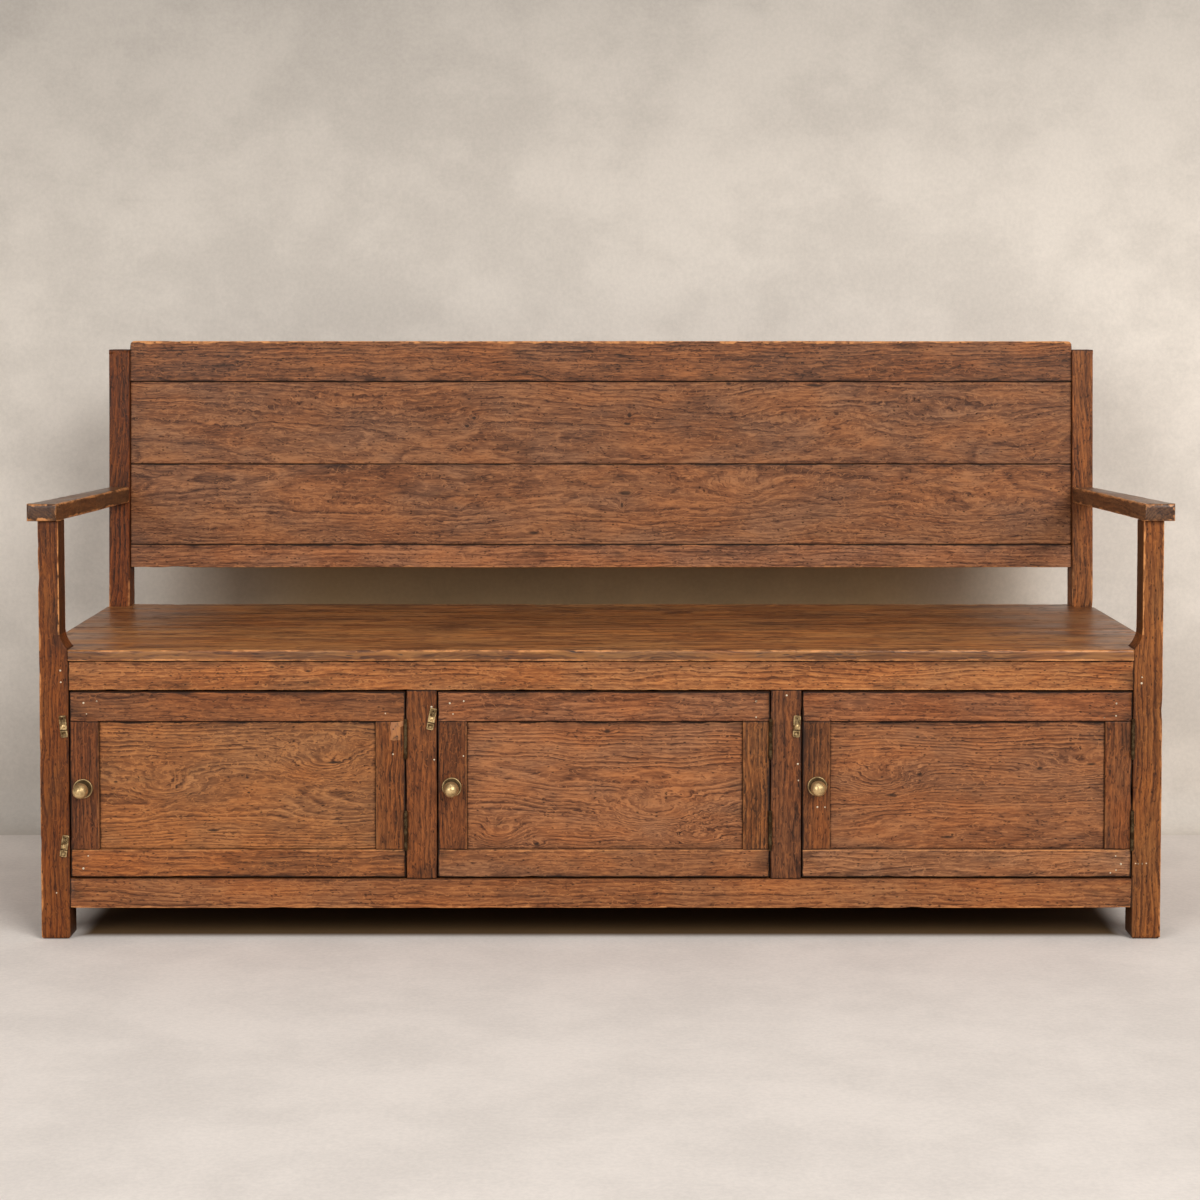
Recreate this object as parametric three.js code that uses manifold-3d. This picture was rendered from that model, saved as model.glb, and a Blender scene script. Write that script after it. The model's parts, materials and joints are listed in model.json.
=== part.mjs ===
// A wooden hall bench with open arms, a boarded leaning back and three panelled cupboards under the seat.
// Posts, rails and stiles are joined by mortise and tenon, and every panel and board floats in a groove.
// Lengths are in millimetres. X runs along the bench, Y from its front to its back and Z up from the floor.

import * as THREE from 'three';
import { mergeVertices } from 'three/addons/utils/BufferGeometryUtils.js';
import Module from 'manifold-3d';

const wasm = await Module();
wasm.setup();

// The whole bench
const benchWidth = 1830; // across the outer faces of the posts
const postSpacing = 560; // front face of the front posts to front face of the rear posts
const seatHeight = 476; // floor to the top of the seat
const fit = 0.3; // clearance at shoulders, housings and butt joints
const overrun = 4; // how far a cutting block runs past the wood that it opens

// Front posts: square below the seat, drawn in through a cove to a slimmer stand for the arm
const frontPostWidth = 47;
const frontPostDepth = 48;
const armStandWidth = 33.5;
const coveTopAboveSeat = 32;
const coveTurn = Math.PI / 4; // the cove ends at this slope, where it meets the square part
const coveSteps = 8;
const footChamfer = 3;

// Rear posts: upright to the seat, leaning back above it
const rearPostWidth = 38;
const rearPostDepth = 48;
const rearPostDrop = 16.4; // top of the back to the tops of the posts
const rearPostTopEase = 3;
const backRake = THREE.MathUtils.degToRad(2.5);

// Rails of the front, and of the two ends
const railHeight = 48;
const bottomRailHeight = 48;
const bottomRailClearance = 51; // floor to the underside of the bottom rails
const frontRailThickness = 30;
const endRailThickness = 22;
const faceSetback = 1; // rails, muntins and doors lie this far behind the faces of the posts
const railTenonLength = 28;
const railTenonThickness = 10;
const endTenonLength = 20;
const endTenonThickness = 8;

// Grooves that hold panels, and the wood left beside them
const grooveDepth = 8;
const panelPlay = 1; // edge of a panel or tongue to the bottom of its groove
const grooveToTenon = 2;

// End panels and the rear plank
const endPanelThickness = 10;
const endPanelRecess = 6;
const rearPlankThickness = 20;
const rearPlankSetback = 12; // front face of the rear posts to the front face of the plank

// Muntins between the doors
const muntinWidth = 49.5;
const muntinThickness = 22;
const muntinCentreShares = [-0.16, 0.165]; // of the bench's width, from its middle
const muntinTenonLength = 20;
const muntinTenonWidth = 30;
const muntinTenonThickness = 8;

// Inside of the cupboards
const floorThickness = 16;
const doorStopGap = 1; // back of a closed door to the edge of the floor that stops it
const partitionThickness = 18;

// Seat boards
const seatThickness = 18;
const seatNosing = 4; // how far the seat stands in front of the posts
const seatNosingRadius = 5;
const seatSoffitRadius = 2;
const seatSideOverhang = 2;
const seatTail = 34; // past the front faces of the rear posts
const frontBoardShares = [0.4615, 0.42]; // of the seat's depth, at the board's left and right end

// Arms
const armThickness = 28.5;
const armFrontWidth = 50.5;
const armRearWidth = 37;
const armSideOverhang = 16; // past the outer face of the front post
const armFrontOverhang = 12;
const armClearance = 210; // seat to the underside of the arm, at the front of the post
const armFall = 16.5; // from the front post to the rear post
const armNoseRadius = 7;
const armCornerRadius = 9;
const armTenonWidth = 12;
const armTenonLength = 26;
const armTenonHeight = 15;
const armEndTenonWidth = 20;
const armEndTenonHeight = 12;
const armEndTenonLength = 14;

// Back, measured in its own leaning plane
const backClearance = 72.5; // seat to the underside of the back's bottom rail
const backBottomRailHeight = 43;
const lowerBoardHeight = 149.5;
const upperBoardHeight = 152;
const backTopRailHeight = 76;
const backRailThickness = 28;
const backRailSetback = 6;
const backBoardThickness = 20;
const backBoardSetback = 7.5;
const backTongueThickness = 8;
const backTenonLength = 20;
const backTenonThickness = 12;
const topTenonHeight = 34;
const topRailCornerRadius = 9;

// Doors
const doorNames = ['left', 'middle', 'right'];
const doorThickness = 22;
const doorSideGap = 2;
const doorHeadGap = 3;
const doorSillGap = 3;
const doorTopRailHeight = 48;
const doorBottomRailHeight = 45;
const latchStileWidths = [46.5, 47, 45];
const hingeStileWidths = [48, 43.5, 43];
const doorPanelThickness = 9;
const doorPanelRecess = 6;
const doorTenonLength = 24;
const doorTenonThickness = 8;
const doorTenonInset = 6; // outer edge of a stile to its tenon

// Butt hinges, two on each door
const hingeLength = 63.5;
const hingeInset = 77; // edge of the door to the middle of the hinge
const leafWidth = 22;
const leafThickness = 1.8;
const leafGap = 0.4; // between the closed leaves
const knuckleRadius = 3;
const knuckleCount = 5;
const knuckleFacets = 16;
const pinRadius = 1.2;
const pinHeadRadius = 2.4;
const pinHeadHeight = 1.2;
const pinSetForward = 2.6; // face of the door to the hinge's axis

// Ball knobs
const knobAcrossShares = [0.445, 0.48, 0.54]; // of the width of the latch stile
const knobHeightShares = [0.479, 0.487, 0.492]; // of the door's height
const knobFacets = 24;
const knobBallRadius = 12.7;
const knobBallReach = 21.5; // face of the door to the centre of the ball
const knobBallSteps = 10;
const knobNeckRadius = 5;
const knobCollarRadius = 7;
const knobCollarReach = 4.2;
const knobCollarTaper = 1.5;
const knobFlangeRadius = 16;
const knobFlangeThickness = 2.9;
const knobFlangeEase = 0.9; // bevel on the outside of the flange's rim
const knobRimWidth = 2;
const knobDishRadius = 12.4; // foot of the hollow inside the rim
const knobDishThickness = 1.6;
const knobShankRadius = 2.5;
const knobShankLength = 15;

// Turn buttons, screwed through the middle to the posts and muntins
const buttonLength = 36;
const buttonWidth = 11.5;
const buttonThickness = 3;
const buttonEase = 0.5; // bevel round the edges
const buttonCornerRadius = 2;
const buttonOffset = 9.8; // free edge of the door to the screw
const buttonScrewRadius = 1.9;
const buttonSinkRadius = 3.4;
const buttonSinkDepth = 1.4;
const buttonGrooveOffset = 6.2; // screw to the groove
const buttonGrooveWidth = 1.8;
const buttonGrooveDepth = 1.7;
const buttonRim = 1.6; // border left round the two sunk faces
const buttonSunkDepth = 0.9;
const buttonBossRadius = 1.9; // the round boss in the foot
const buttonEyeRadius = 1.6;
const buttonEyeDepth = 2;
const buttonEyeInset = 5.2; // head of the button to its eye
const buttonPitRadius = 0.9;
const buttonPitDepth = 1.7;
const buttonPitPlace = [2, 7.6]; // across and up from the screw
const buttonFacets = 16;
const buttonPitFacets = 8;
const turnButtons = [
  { name: 'left_upper', door: 0, heightShare: 0.815, lean: THREE.MathUtils.degToRad(-6) },
  { name: 'left_lower', door: 0, heightShare: 0.17, lean: THREE.MathUtils.degToRad(8.5) },
  { name: 'middle', door: 1, heightShare: 0.855, lean: THREE.MathUtils.degToRad(11) },
  { name: 'right', door: 2, heightShare: 0.815, lean: THREE.MathUtils.degToRad(3) },
];

// Places that follow from the sizes
const halfWidth = benchWidth / 2;
const frontPostInner = halfWidth - frontPostWidth;
const rearPostInner = halfWidth - rearPostWidth;
const panelReach = grooveDepth - panelPlay;
const tenonShoulder = grooveDepth + grooveToTenon; // edge of a rail to its tenon
const seatUnderside = seatHeight - seatThickness;
const railTop = seatUnderside - fit;
const railUnderside = railTop - railHeight;
const bottomRailTop = bottomRailClearance + bottomRailHeight;
const endRailOuter = halfWidth - faceSetback;
const endRailInner = endRailOuter - endRailThickness;
const endPanelInner = endRailOuter - endPanelRecess - endPanelThickness;
const plankFront = postSpacing + rearPlankSetback;
const floorTop = bottomRailTop + fit + floorThickness;
const floorFront = faceSetback + doorThickness + doorStopGap;
const seatBack = postSpacing + seatTail;
const frontBoardEdges = frontBoardShares.map((share) => share * (seatBack + seatNosing) - seatNosing);
const armFrontUnderside = seatHeight + armClearance;
const muntinCentres = muntinCentreShares.map((share) => share * benchWidth);
const doorSill = bottomRailTop + doorSillGap;
const doorHead = railUnderside - doorHeadGap;
const doorHeight = doorHead - doorSill;
const doorEdges = doorNames.map((name, i) => {
  const left = i === 0 ? -frontPostInner : muntinCentres[i - 1] + muntinWidth / 2;
  const right = i === doorNames.length - 1 ? frontPostInner : muntinCentres[i] - muntinWidth / 2;
  return { left: left + doorSideGap, right: right - doorSideGap };
});
const hingeAxisX = doorEdges.map((edge) => edge.right + doorSideGap / 2);
const hingeAxisY = faceSetback - pinSetForward;
const hingeHeights = { lower: doorSill + hingeInset, upper: doorHead - hingeInset };
const backLevels = backBoardLevels();
const rearPostHeight = seatHeight + backLevels.topRail[1] * Math.cos(backRake) - rearPostDrop;

// Materials
const teak = (shade) => new THREE.MeshStandardMaterial({ color: shade, roughness: 0.5, metalness: 0 });
const agedBrass = () => new THREE.MeshStandardMaterial({ color: 0xa98a54, roughness: 0.38, metalness: 1 });
const darkTeak = 0x5a3420;
const redTeak = 0x70402a;
const goldenTeak = 0x87522e;

// Turns a closed three.js geometry into a solid that can be joined and cut
function solid(shape) {
  if (!(shape instanceof THREE.BufferGeometry)) return shape;
  const bare = shape.clone();
  bare.deleteAttribute('normal');
  bare.deleteAttribute('uv');
  const merged = mergeVertices(bare);
  return new wasm.Manifold(new wasm.Mesh({
    numProp: 3,
    vertProperties: merged.attributes.position.array,
    triVerts: new Uint32Array(merged.index.array),
  }));
}

function join(first, ...others) {
  return others.reduce((whole, other) => whole.add(solid(other)), solid(first));
}

function cut(first, ...tools) {
  return tools.reduce((whole, tool) => whole.subtract(solid(tool)), solid(first));
}

function meet(first, second) {
  return solid(first).intersect(solid(second));
}

// A flat-shaded mesh of a solid, named for its place on the bench
function piece(name, shape, material) {
  const { vertProperties, triVerts, numProp } = solid(shape).getMesh();
  const corners = Float32Array.from(vertProperties.filter((value, i) => i % numProp < 3));
  const shared = new THREE.BufferGeometry();
  shared.setAttribute('position', new THREE.BufferAttribute(corners, 3));
  shared.setIndex(new THREE.BufferAttribute(triVerts, 1));
  const geometry = shared.toNonIndexed();
  geometry.computeVertexNormals();
  const mesh = new THREE.Mesh(geometry, material);
  mesh.name = name;
  return mesh;
}

// A rectangular block from its three spans, enlarged all round by a clearance
function block([x0, x1], [y0, y1], [z0, z1], clearance = 0) {
  const size = [x1 - x0, y1 - y0, z1 - z0].map((length) => Math.abs(length) + 2 * clearance);
  return new THREE.BoxGeometry(...size).translate((x0 + x1) / 2, (y0 + y1) / 2, (z0 + z1) / 2);
}

// The span between two distances from the middle of the bench, on its left (-1) or its right (1)
function onSide(side, inner, outer) {
  return [side * inner, side * outer];
}

// A closed outline through corners given as [across, up, radius], each eased by its radius
function outline(corners) {
  const shape = new THREE.Shape();
  corners.forEach(([across, up, radius = 0], i) => {
    const corner = new THREE.Vector2(across, up);
    const [arrive, leave] = [corners.at(i - 1), corners[(i + 1) % corners.length]].map(([a, b]) =>
      new THREE.Vector2(a, b).sub(corner).setLength(radius).add(corner));
    if (i === 0) shape.moveTo(arrive.x, arrive.y);
    else shape.lineTo(arrive.x, arrive.y);
    if (radius > 0) shape.quadraticCurveTo(corner.x, corner.y, leave.x, leave.y);
  });
  return shape;
}

function extrude(corners, length) {
  const options = { depth: length, bevelEnabled: false, curveSegments: 5 };
  return new THREE.ExtrudeGeometry(outline(corners), options);
}

// Corners [x, y], extruded upwards
function extrudeUp(corners, [from, to]) {
  return extrude(corners, to - from).translate(0, 0, from);
}

// Corners [y, z], extruded along the bench
function extrudeAcross(corners, [from, to]) {
  const turn = new THREE.Matrix4().set(0, 0, 1, 0, 1, 0, 0, 0, 0, 1, 0, 0, 0, 0, 0, 1);
  return extrude(corners, Math.abs(to - from)).applyMatrix4(turn).translate(Math.min(from, to), 0, 0);
}

// Corners [x, z], extruded from the front to the back
function extrudeBack(corners, [from, to]) {
  return extrude(corners, to - from).rotateX(Math.PI / 2).translate(0, to, 0);
}

// A round bar along Y
function rod(x, z, radius, [from, to], facets) {
  return new THREE.CylinderGeometry(radius, radius, to - from, facets).translate(x, (from + to) / 2, z);
}

// A round bar along Z on the local axis
function spindle(radius, [from, to], facets = knuckleFacets) {
  const bar = new THREE.CylinderGeometry(radius, radius, to - from, facets);
  return bar.rotateX(Math.PI / 2).translate(0, 0, (from + to) / 2);
}

// How far the back leans at a height above the floor
function lean(height) {
  return Math.max(0, height - seatHeight) * Math.tan(backRake);
}

// The matrix that leans the back about the front of the rear posts at seat level
function leaning() {
  const matrix = new THREE.Matrix4().makeRotationX(-backRake);
  return matrix.setPosition(0, postSpacing, seatHeight);
}

// Underside of the arm at a distance behind the front of the posts
function armUnderside(y) {
  return armFrontUnderside - armFall * y / postSpacing;
}

// Tenons, each given by its spans so that its mortise can be cut from the same values
function frontRailTenon(side, underside, height) {
  const middle = faceSetback + frontRailThickness / 2;
  return [
    onSide(side, frontPostInner - fit - overrun, frontPostInner + railTenonLength - fit),
    [middle - railTenonThickness / 2, middle + railTenonThickness / 2],
    [underside + tenonShoulder, underside + height - tenonShoulder],
  ];
}

function endRailTenon(side, end, underside, height) {
  const middle = (endRailInner + endRailOuter) / 2;
  const reach = end === 'front'
    ? [frontPostDepth - endTenonLength + fit, frontPostDepth + fit + overrun]
    : [postSpacing - fit - overrun, postSpacing + endTenonLength - fit];
  return [
    onSide(side, middle - endTenonThickness / 2, middle + endTenonThickness / 2),
    reach,
    [underside + tenonShoulder, underside + height - tenonShoulder],
  ];
}

function muntinTenon(centre, edge, direction) {
  const middle = faceSetback + muntinThickness / 2;
  const reach = [edge - direction * (fit + overrun), edge + direction * (muntinTenonLength - fit)];
  return [
    [centre - muntinTenonWidth / 2, centre + muntinTenonWidth / 2],
    [middle - muntinTenonThickness / 2, middle + muntinTenonThickness / 2],
    reach,
  ];
}

function armStandTenon(side) {
  const across = halfWidth - armStandWidth / 2;
  const along = frontPostDepth / 2;
  const base = armUnderside(along);
  return [
    onSide(side, across - armTenonWidth / 2, across + armTenonWidth / 2),
    [along - armTenonLength / 2, along + armTenonLength / 2],
    [base - overrun, base + armTenonHeight - fit],
  ];
}

function armEndTenon(side) {
  const across = halfWidth - armRearWidth / 2;
  const middle = armUnderside(postSpacing) + armThickness / 2;
  const shoulder = postSpacing + lean(middle);
  return [
    onSide(side, across - armEndTenonWidth / 2, across + armEndTenonWidth / 2),
    [shoulder - fit - overrun, shoulder + armEndTenonLength - fit],
    [middle - armEndTenonHeight / 2, middle + armEndTenonHeight / 2],
  ];
}

function backTenon(side, [low, high]) {
  const middle = backRailSetback + backRailThickness / 2;
  return [
    onSide(side, rearPostInner - fit - overrun, rearPostInner + backTenonLength - fit),
    [middle - backTenonThickness / 2, middle + backTenonThickness / 2],
    [low, high],
  ];
}

// The spans, up the leaning back, of its rails, boards and tenons
function backBoardLevels() {
  const bottomRail = [backClearance, backClearance + backBottomRailHeight];
  const lowerBoard = [bottomRail[1] + fit, bottomRail[1] + fit + lowerBoardHeight];
  const upperBoard = [lowerBoard[1] + fit, lowerBoard[1] + fit + upperBoardHeight];
  const topRail = [upperBoard[1] + fit, upperBoard[1] + fit + backTopRailHeight];
  const bottomTenon = [bottomRail[0] + tenonShoulder, bottomRail[1] - tenonShoulder];
  const topTenon = [topRail[0] + tenonShoulder, topRail[0] + tenonShoulder + topTenonHeight];
  return { bottomRail, lowerBoard, upperBoard, topRail, bottomTenon, topTenon };
}

// Grooves in the posts for the end panel
function endPanelGroove(side, [from, to]) {
  const across = onSide(side, endPanelInner, endPanelInner + endPanelThickness);
  return block(across, [from, to], [bottomRailTop - grooveDepth, railUnderside + grooveDepth], fit);
}

function frontPost(side) {
  const place = (inward, height) => [side * (halfWidth - inward), height];
  const coveRun = frontPostWidth - armStandWidth;
  const coveRadius = coveRun / (1 - Math.cos(coveTurn));
  const coveTop = seatHeight + coveTopAboveSeat;
  const cove = Array.from({ length: coveSteps + 1 }, (_, i) => {
    const turn = coveTurn * (1 - i / coveSteps);
    const inward = armStandWidth + coveRadius * (1 - Math.cos(turn));
    return place(inward, coveTop - coveRadius * Math.sin(turn));
  });
  const top = armUnderside(0) - fit;
  const front = extrudeBack([
    place(0, footChamfer), place(footChamfer, 0),
    place(frontPostWidth - footChamfer, 0), place(frontPostWidth, footChamfer),
    ...cove,
    place(armStandWidth, top), place(0, top),
  ], [0, frontPostDepth]);
  const profile = extrudeAcross([
    [footChamfer, 0], [frontPostDepth - footChamfer, 0], [frontPostDepth, footChamfer],
    [frontPostDepth, armUnderside(frontPostDepth) - fit], [0, top], [0, footChamfer],
  ], onSide(side, frontPostInner, halfWidth));
  const post = join(meet(front, profile), block(...armStandTenon(side)));
  return cut(
    post,
    block(...frontRailTenon(side, railUnderside, railHeight), fit),
    block(...frontRailTenon(side, bottomRailClearance, bottomRailHeight), fit),
    block(...endRailTenon(side, 'front', railUnderside, railHeight), fit),
    block(...endRailTenon(side, 'front', bottomRailClearance, bottomRailHeight), fit),
    endPanelGroove(side, [frontPostDepth - grooveDepth, frontPostDepth + overrun]),
    ...(side > 0 ? hingeGains(doorNames.length - 1, 1) : []),
  );
}

function rearPost(side) {
  const back = postSpacing + rearPostDepth;
  const shift = lean(rearPostHeight);
  const profile = extrudeAcross([
    [postSpacing, 0], [back, 0], [back, seatHeight],
    [back + shift, rearPostHeight, rearPostTopEase], [postSpacing + shift, rearPostHeight, rearPostTopEase],
    [postSpacing, seatHeight],
  ], onSide(side, rearPostInner, halfWidth));
  const foot = extrudeBack([
    [side * halfWidth, footChamfer], [side * (halfWidth - footChamfer), 0],
    [side * (rearPostInner + footChamfer), 0], [side * rearPostInner, footChamfer],
    [side * rearPostInner, rearPostHeight], [side * halfWidth, rearPostHeight],
  ], [postSpacing, back + shift]);
  const plankGroove = block(
    onSide(side, rearPostInner - overrun, rearPostInner + grooveDepth - fit),
    [plankFront, plankFront + rearPlankThickness],
    [bottomRailClearance, railTop],
    fit,
  );
  return cut(
    meet(profile, foot),
    plankGroove,
    block(...endRailTenon(side, 'rear', railUnderside, railHeight), fit),
    block(...endRailTenon(side, 'rear', bottomRailClearance, bottomRailHeight), fit),
    endPanelGroove(side, [postSpacing - overrun, postSpacing + grooveDepth]),
    block(...armEndTenon(side), fit),
    block(...backTenon(side, backLevels.bottomTenon), fit).applyMatrix4(leaning()),
    block(...backTenon(side, backLevels.topTenon), fit).applyMatrix4(leaning()),
  );
}

// A front rail, tenoned into both posts and mortised for the muntins on its edge that faces the doors
function frontRail(underside, height, muntinEdge, direction) {
  const body = block(
    [fit - frontPostInner, frontPostInner - fit],
    [faceSetback, faceSetback + frontRailThickness],
    [underside, underside + height],
  );
  const tenons = [-1, 1].map((side) => block(...frontRailTenon(side, underside, height)));
  const mortises = muntinCentres.map((centre) => block(...muntinTenon(centre, muntinEdge, direction), fit));
  return cut(join(body, ...tenons), ...mortises);
}

function muntin(i) {
  const centre = muntinCentres[i];
  const body = block(
    [centre - muntinWidth / 2, centre + muntinWidth / 2],
    [faceSetback, faceSetback + muntinThickness],
    [bottomRailTop + fit, railUnderside - fit],
  );
  const post = join(
    body,
    block(...muntinTenon(centre, railUnderside, 1)),
    block(...muntinTenon(centre, bottomRailTop, -1)),
  );
  return cut(post, ...hingeGains(i, 1));
}

function endRail(side, underside, height, grooveEdge, direction) {
  const body = block(
    onSide(side, endRailInner, endRailOuter),
    [frontPostDepth + fit, postSpacing - fit],
    [underside, underside + height],
  );
  const tenons = ['front', 'rear'].map((end) => block(...endRailTenon(side, end, underside, height)));
  const groove = block(
    onSide(side, endPanelInner, endPanelInner + endPanelThickness),
    [frontPostDepth - overrun, postSpacing + overrun],
    [grooveEdge - direction * overrun, grooveEdge + direction * (grooveDepth - fit)],
    fit,
  );
  return join(cut(body, groove), ...tenons);
}

function endPanel(side) {
  return block(
    onSide(side, endPanelInner, endPanelInner + endPanelThickness),
    [frontPostDepth - panelReach, postSpacing + panelReach],
    [bottomRailTop - panelReach, railUnderside + panelReach],
  );
}

function rearPlank() {
  const reach = rearPostInner + panelReach;
  const depth = [plankFront, plankFront + rearPlankThickness];
  return block([-reach, reach], depth, [bottomRailClearance, railTop]);
}

function cupboardFloor() {
  const across = endPanelInner - fit;
  const level = [bottomRailTop + fit, floorTop];
  const board = block([-across, across], [floorFront, plankFront - fit], level);
  const notches = [-1, 1].flatMap((side) => [
    block(
      onSide(side, frontPostInner, across + overrun),
      [floorFront - overrun, frontPostDepth],
      level,
      fit,
    ),
    block(onSide(side, rearPostInner, across + overrun), [postSpacing, plankFront], level, fit),
  ]);
  return cut(board, ...notches);
}

function partition(i) {
  const across = [muntinCentres[i] - partitionThickness / 2, muntinCentres[i] + partitionThickness / 2];
  const depth = [faceSetback + muntinThickness + fit, plankFront - fit];
  const board = block(across, depth, [floorTop + fit, railTop]);
  const railNotch = block(across, [0, faceSetback + frontRailThickness], [railUnderside, railTop], fit);
  return cut(board, railNotch);
}

// The front board of the seat, rounded along its nose and notched round the front posts
function seatFrontBoard() {
  const inner = frontPostInner - fit;
  const outer = halfWidth + seatSideOverhang;
  const behindPost = frontPostDepth + fit;
  const [left, right] = frontBoardEdges;
  const plan = extrudeUp([
    [-inner, -seatNosing, seatSoffitRadius], [inner, -seatNosing, seatSoffitRadius],
    [inner, behindPost], [outer, behindPost, seatSoffitRadius],
    [outer, right], [-outer, left],
    [-outer, behindPost, seatSoffitRadius], [-inner, behindPost],
  ], [seatUnderside, seatHeight]);
  const profile = extrudeAcross([
    [-seatNosing, seatUnderside, seatSoffitRadius], [seatBack, seatUnderside],
    [seatBack, seatHeight], [-seatNosing, seatHeight, seatNosingRadius],
  ], [-outer, outer]);
  return meet(plan, profile);
}

// The rear board of the seat, notched round the rear posts
function seatRearBoard() {
  const inner = rearPostInner - fit;
  const outer = halfWidth + seatSideOverhang;
  const [left, right] = frontBoardEdges.map((edge) => edge + fit);
  const plan = [
    [-outer, left], [outer, right],
    [outer, postSpacing - fit, seatSoffitRadius], [inner, postSpacing - fit],
    [inner, seatBack, seatSoffitRadius], [-inner, seatBack, seatSoffitRadius],
    [-inner, postSpacing - fit], [-outer, postSpacing - fit, seatSoffitRadius],
  ];
  return extrudeUp(plan, [seatUnderside, seatHeight]);
}

// An arm: its tapering plan and its falling side outline, met in one piece
function arm(side) {
  const place = (inward, y, radius) => [side * (halfWidth - inward), y, radius];
  const rearY = (height) => postSpacing + lean(height) - fit;
  const frontLow = armUnderside(-armFrontOverhang);
  const rearLow = armUnderside(postSpacing);
  const profile = extrudeAcross([
    [-armFrontOverhang, frontLow, armNoseRadius],
    [rearY(rearLow), armUnderside(rearY(rearLow))],
    [rearY(rearLow + armThickness), armUnderside(rearY(rearLow)) + armThickness],
    [-armFrontOverhang, frontLow + armThickness, armNoseRadius],
  ], onSide(side, rearPostInner - overrun, halfWidth + armSideOverhang + overrun));
  const rearEnd = rearY(rearLow + armThickness) + overrun;
  const plan = extrudeUp([
    place(-armSideOverhang, -armFrontOverhang, armCornerRadius),
    place(armFrontWidth - armSideOverhang, -armFrontOverhang, armCornerRadius),
    place(armRearWidth, rearEnd), place(0, rearEnd),
  ], [rearLow - overrun, frontLow + armThickness + overrun]);
  const board = meet(profile, plan);
  return join(cut(board, block(...armStandTenon(side), fit)), block(...armEndTenon(side)));
}

// The pieces of the back are drawn upright, with Y from the front of the posts and Z from the seat
const backLength = [fit - rearPostInner, rearPostInner - fit];
const backRailDepth = [backRailSetback, backRailSetback + backRailThickness];
const tongueMiddle = backBoardSetback + backBoardThickness / 2;
const tongueDepth = [tongueMiddle - backTongueThickness / 2, tongueMiddle + backTongueThickness / 2];

// The groove along an edge of the back; up is 1 where it goes up into the wood and -1 where it goes down
function backGroove(edge, up) {
  const length = [backLength[0] - overrun, backLength[1] + overrun];
  return block(length, tongueDepth, [edge - up * overrun, edge + up * (grooveDepth - fit)], fit);
}

function backTongue(edge, up) {
  return block(backLength, tongueDepth, [edge - up * overrun, edge + up * panelReach]);
}

function backTopRail() {
  const [low, high] = backLevels.topRail;
  const board = extrudeBack([
    [backLength[0], low], [backLength[1], low],
    [backLength[1], high, topRailCornerRadius], [backLength[0], high, topRailCornerRadius],
  ], backRailDepth);
  const tenons = [-1, 1].map((side) => block(...backTenon(side, backLevels.topTenon)));
  return cut(join(board, ...tenons), backGroove(low, 1));
}

function backBottomRail() {
  const [low, high] = backLevels.bottomRail;
  const tenons = [-1, 1].map((side) => block(...backTenon(side, backLevels.bottomTenon)));
  return cut(join(block(backLength, backRailDepth, [low, high]), ...tenons), backGroove(high, -1));
}

function backBoard(level) {
  return block(backLength, [backBoardSetback, backBoardSetback + backBoardThickness], level);
}

function upperBackBoard() {
  const [low, high] = backLevels.upperBoard;
  return join(backBoard([low, high]), backTongue(high, 1), backTongue(low, -1));
}

function lowerBackBoard() {
  const [low, high] = backLevels.lowerBoard;
  return cut(join(backBoard([low, high]), backTongue(low, -1)), backGroove(high, -1));
}

// Butt hinge, drawn about its own pin: the door's leaf on the left, the frame's leaf on the right
function knuckleSpan(i) {
  const step = hingeLength / knuckleCount;
  return [i * step - hingeLength / 2 + fit / 2, (i + 1) * step - hingeLength / 2 - fit / 2];
}

// Frame knuckles are the first, third and fifth, and the door's are the ones between them
function hingeLeaf(side) {
  const isMine = (i) => (i % 2 === 0) === (side > 0);
  const spans = Array.from({ length: knuckleCount }, (_, i) => knuckleSpan(i));
  const half = hingeLength / 2;
  const plate = block(
    onSide(side, leafGap / 2, leafGap / 2 + leafThickness),
    [0, leafWidth],
    [-half, half],
  );
  const clearances = spans.filter((span, i) => !isMine(i)).map(([from, to]) =>
    spindle(knuckleRadius + fit, [from - fit, to + fit]));
  const knuckles = spans.filter((span, i) => isMine(i)).map((span) => spindle(knuckleRadius, span));
  const leaf = join(cut(plate, ...clearances), ...knuckles);
  if (side < 0) return cut(leaf, spindle(pinRadius + fit, [-half - overrun, half + overrun]));
  const heads = [[-half - pinHeadHeight, -half + fit], [half - fit, half + pinHeadHeight]].map((span) =>
    spindle(pinHeadRadius, span));
  return join(leaf, spindle(pinRadius, [-half, half]), ...heads);
}

// The recess for one leaf and its knuckles, in the edge of a door (-1) or of the wood beside it (1)
function hingeGain(side) {
  const half = hingeLength / 2;
  const reach = half + pinHeadHeight + fit;
  return join(
    block(onSide(side, 0, leafGap / 2 + leafThickness), [0, leafWidth], [-half, half], fit),
    spindle(knuckleRadius + fit, [-reach, reach]),
  );
}

// The recesses for both hinges of a door, placed on the bench
function hingeGains(door, side) {
  return Object.values(hingeHeights).map((height) =>
    hingeGain(side).translate([hingeAxisX[door], hingeAxisY, height]));
}

// The pieces of a door are drawn about its hinge axis, with their true height above the floor
function doorFrame(i) {
  const left = doorEdges[i].left - hingeAxisX[i];
  const right = doorEdges[i].right - hingeAxisX[i];
  const depth = [pinSetForward, pinSetForward + doorThickness];
  const panelFront = depth[0] + doorPanelRecess;
  return {
    left,
    right,
    depth,
    panelDepth: [panelFront, panelFront + doorPanelThickness],
    bay: [left + latchStileWidths[i], right - hingeStileWidths[i]],
    sill: [doorSill, doorSill + doorBottomRailHeight],
    head: [doorHead - doorTopRailHeight, doorHead],
    gains: Object.values(hingeHeights).map((height) => hingeGain(-1).translate([0, 0, height])),
  };
}

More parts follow.
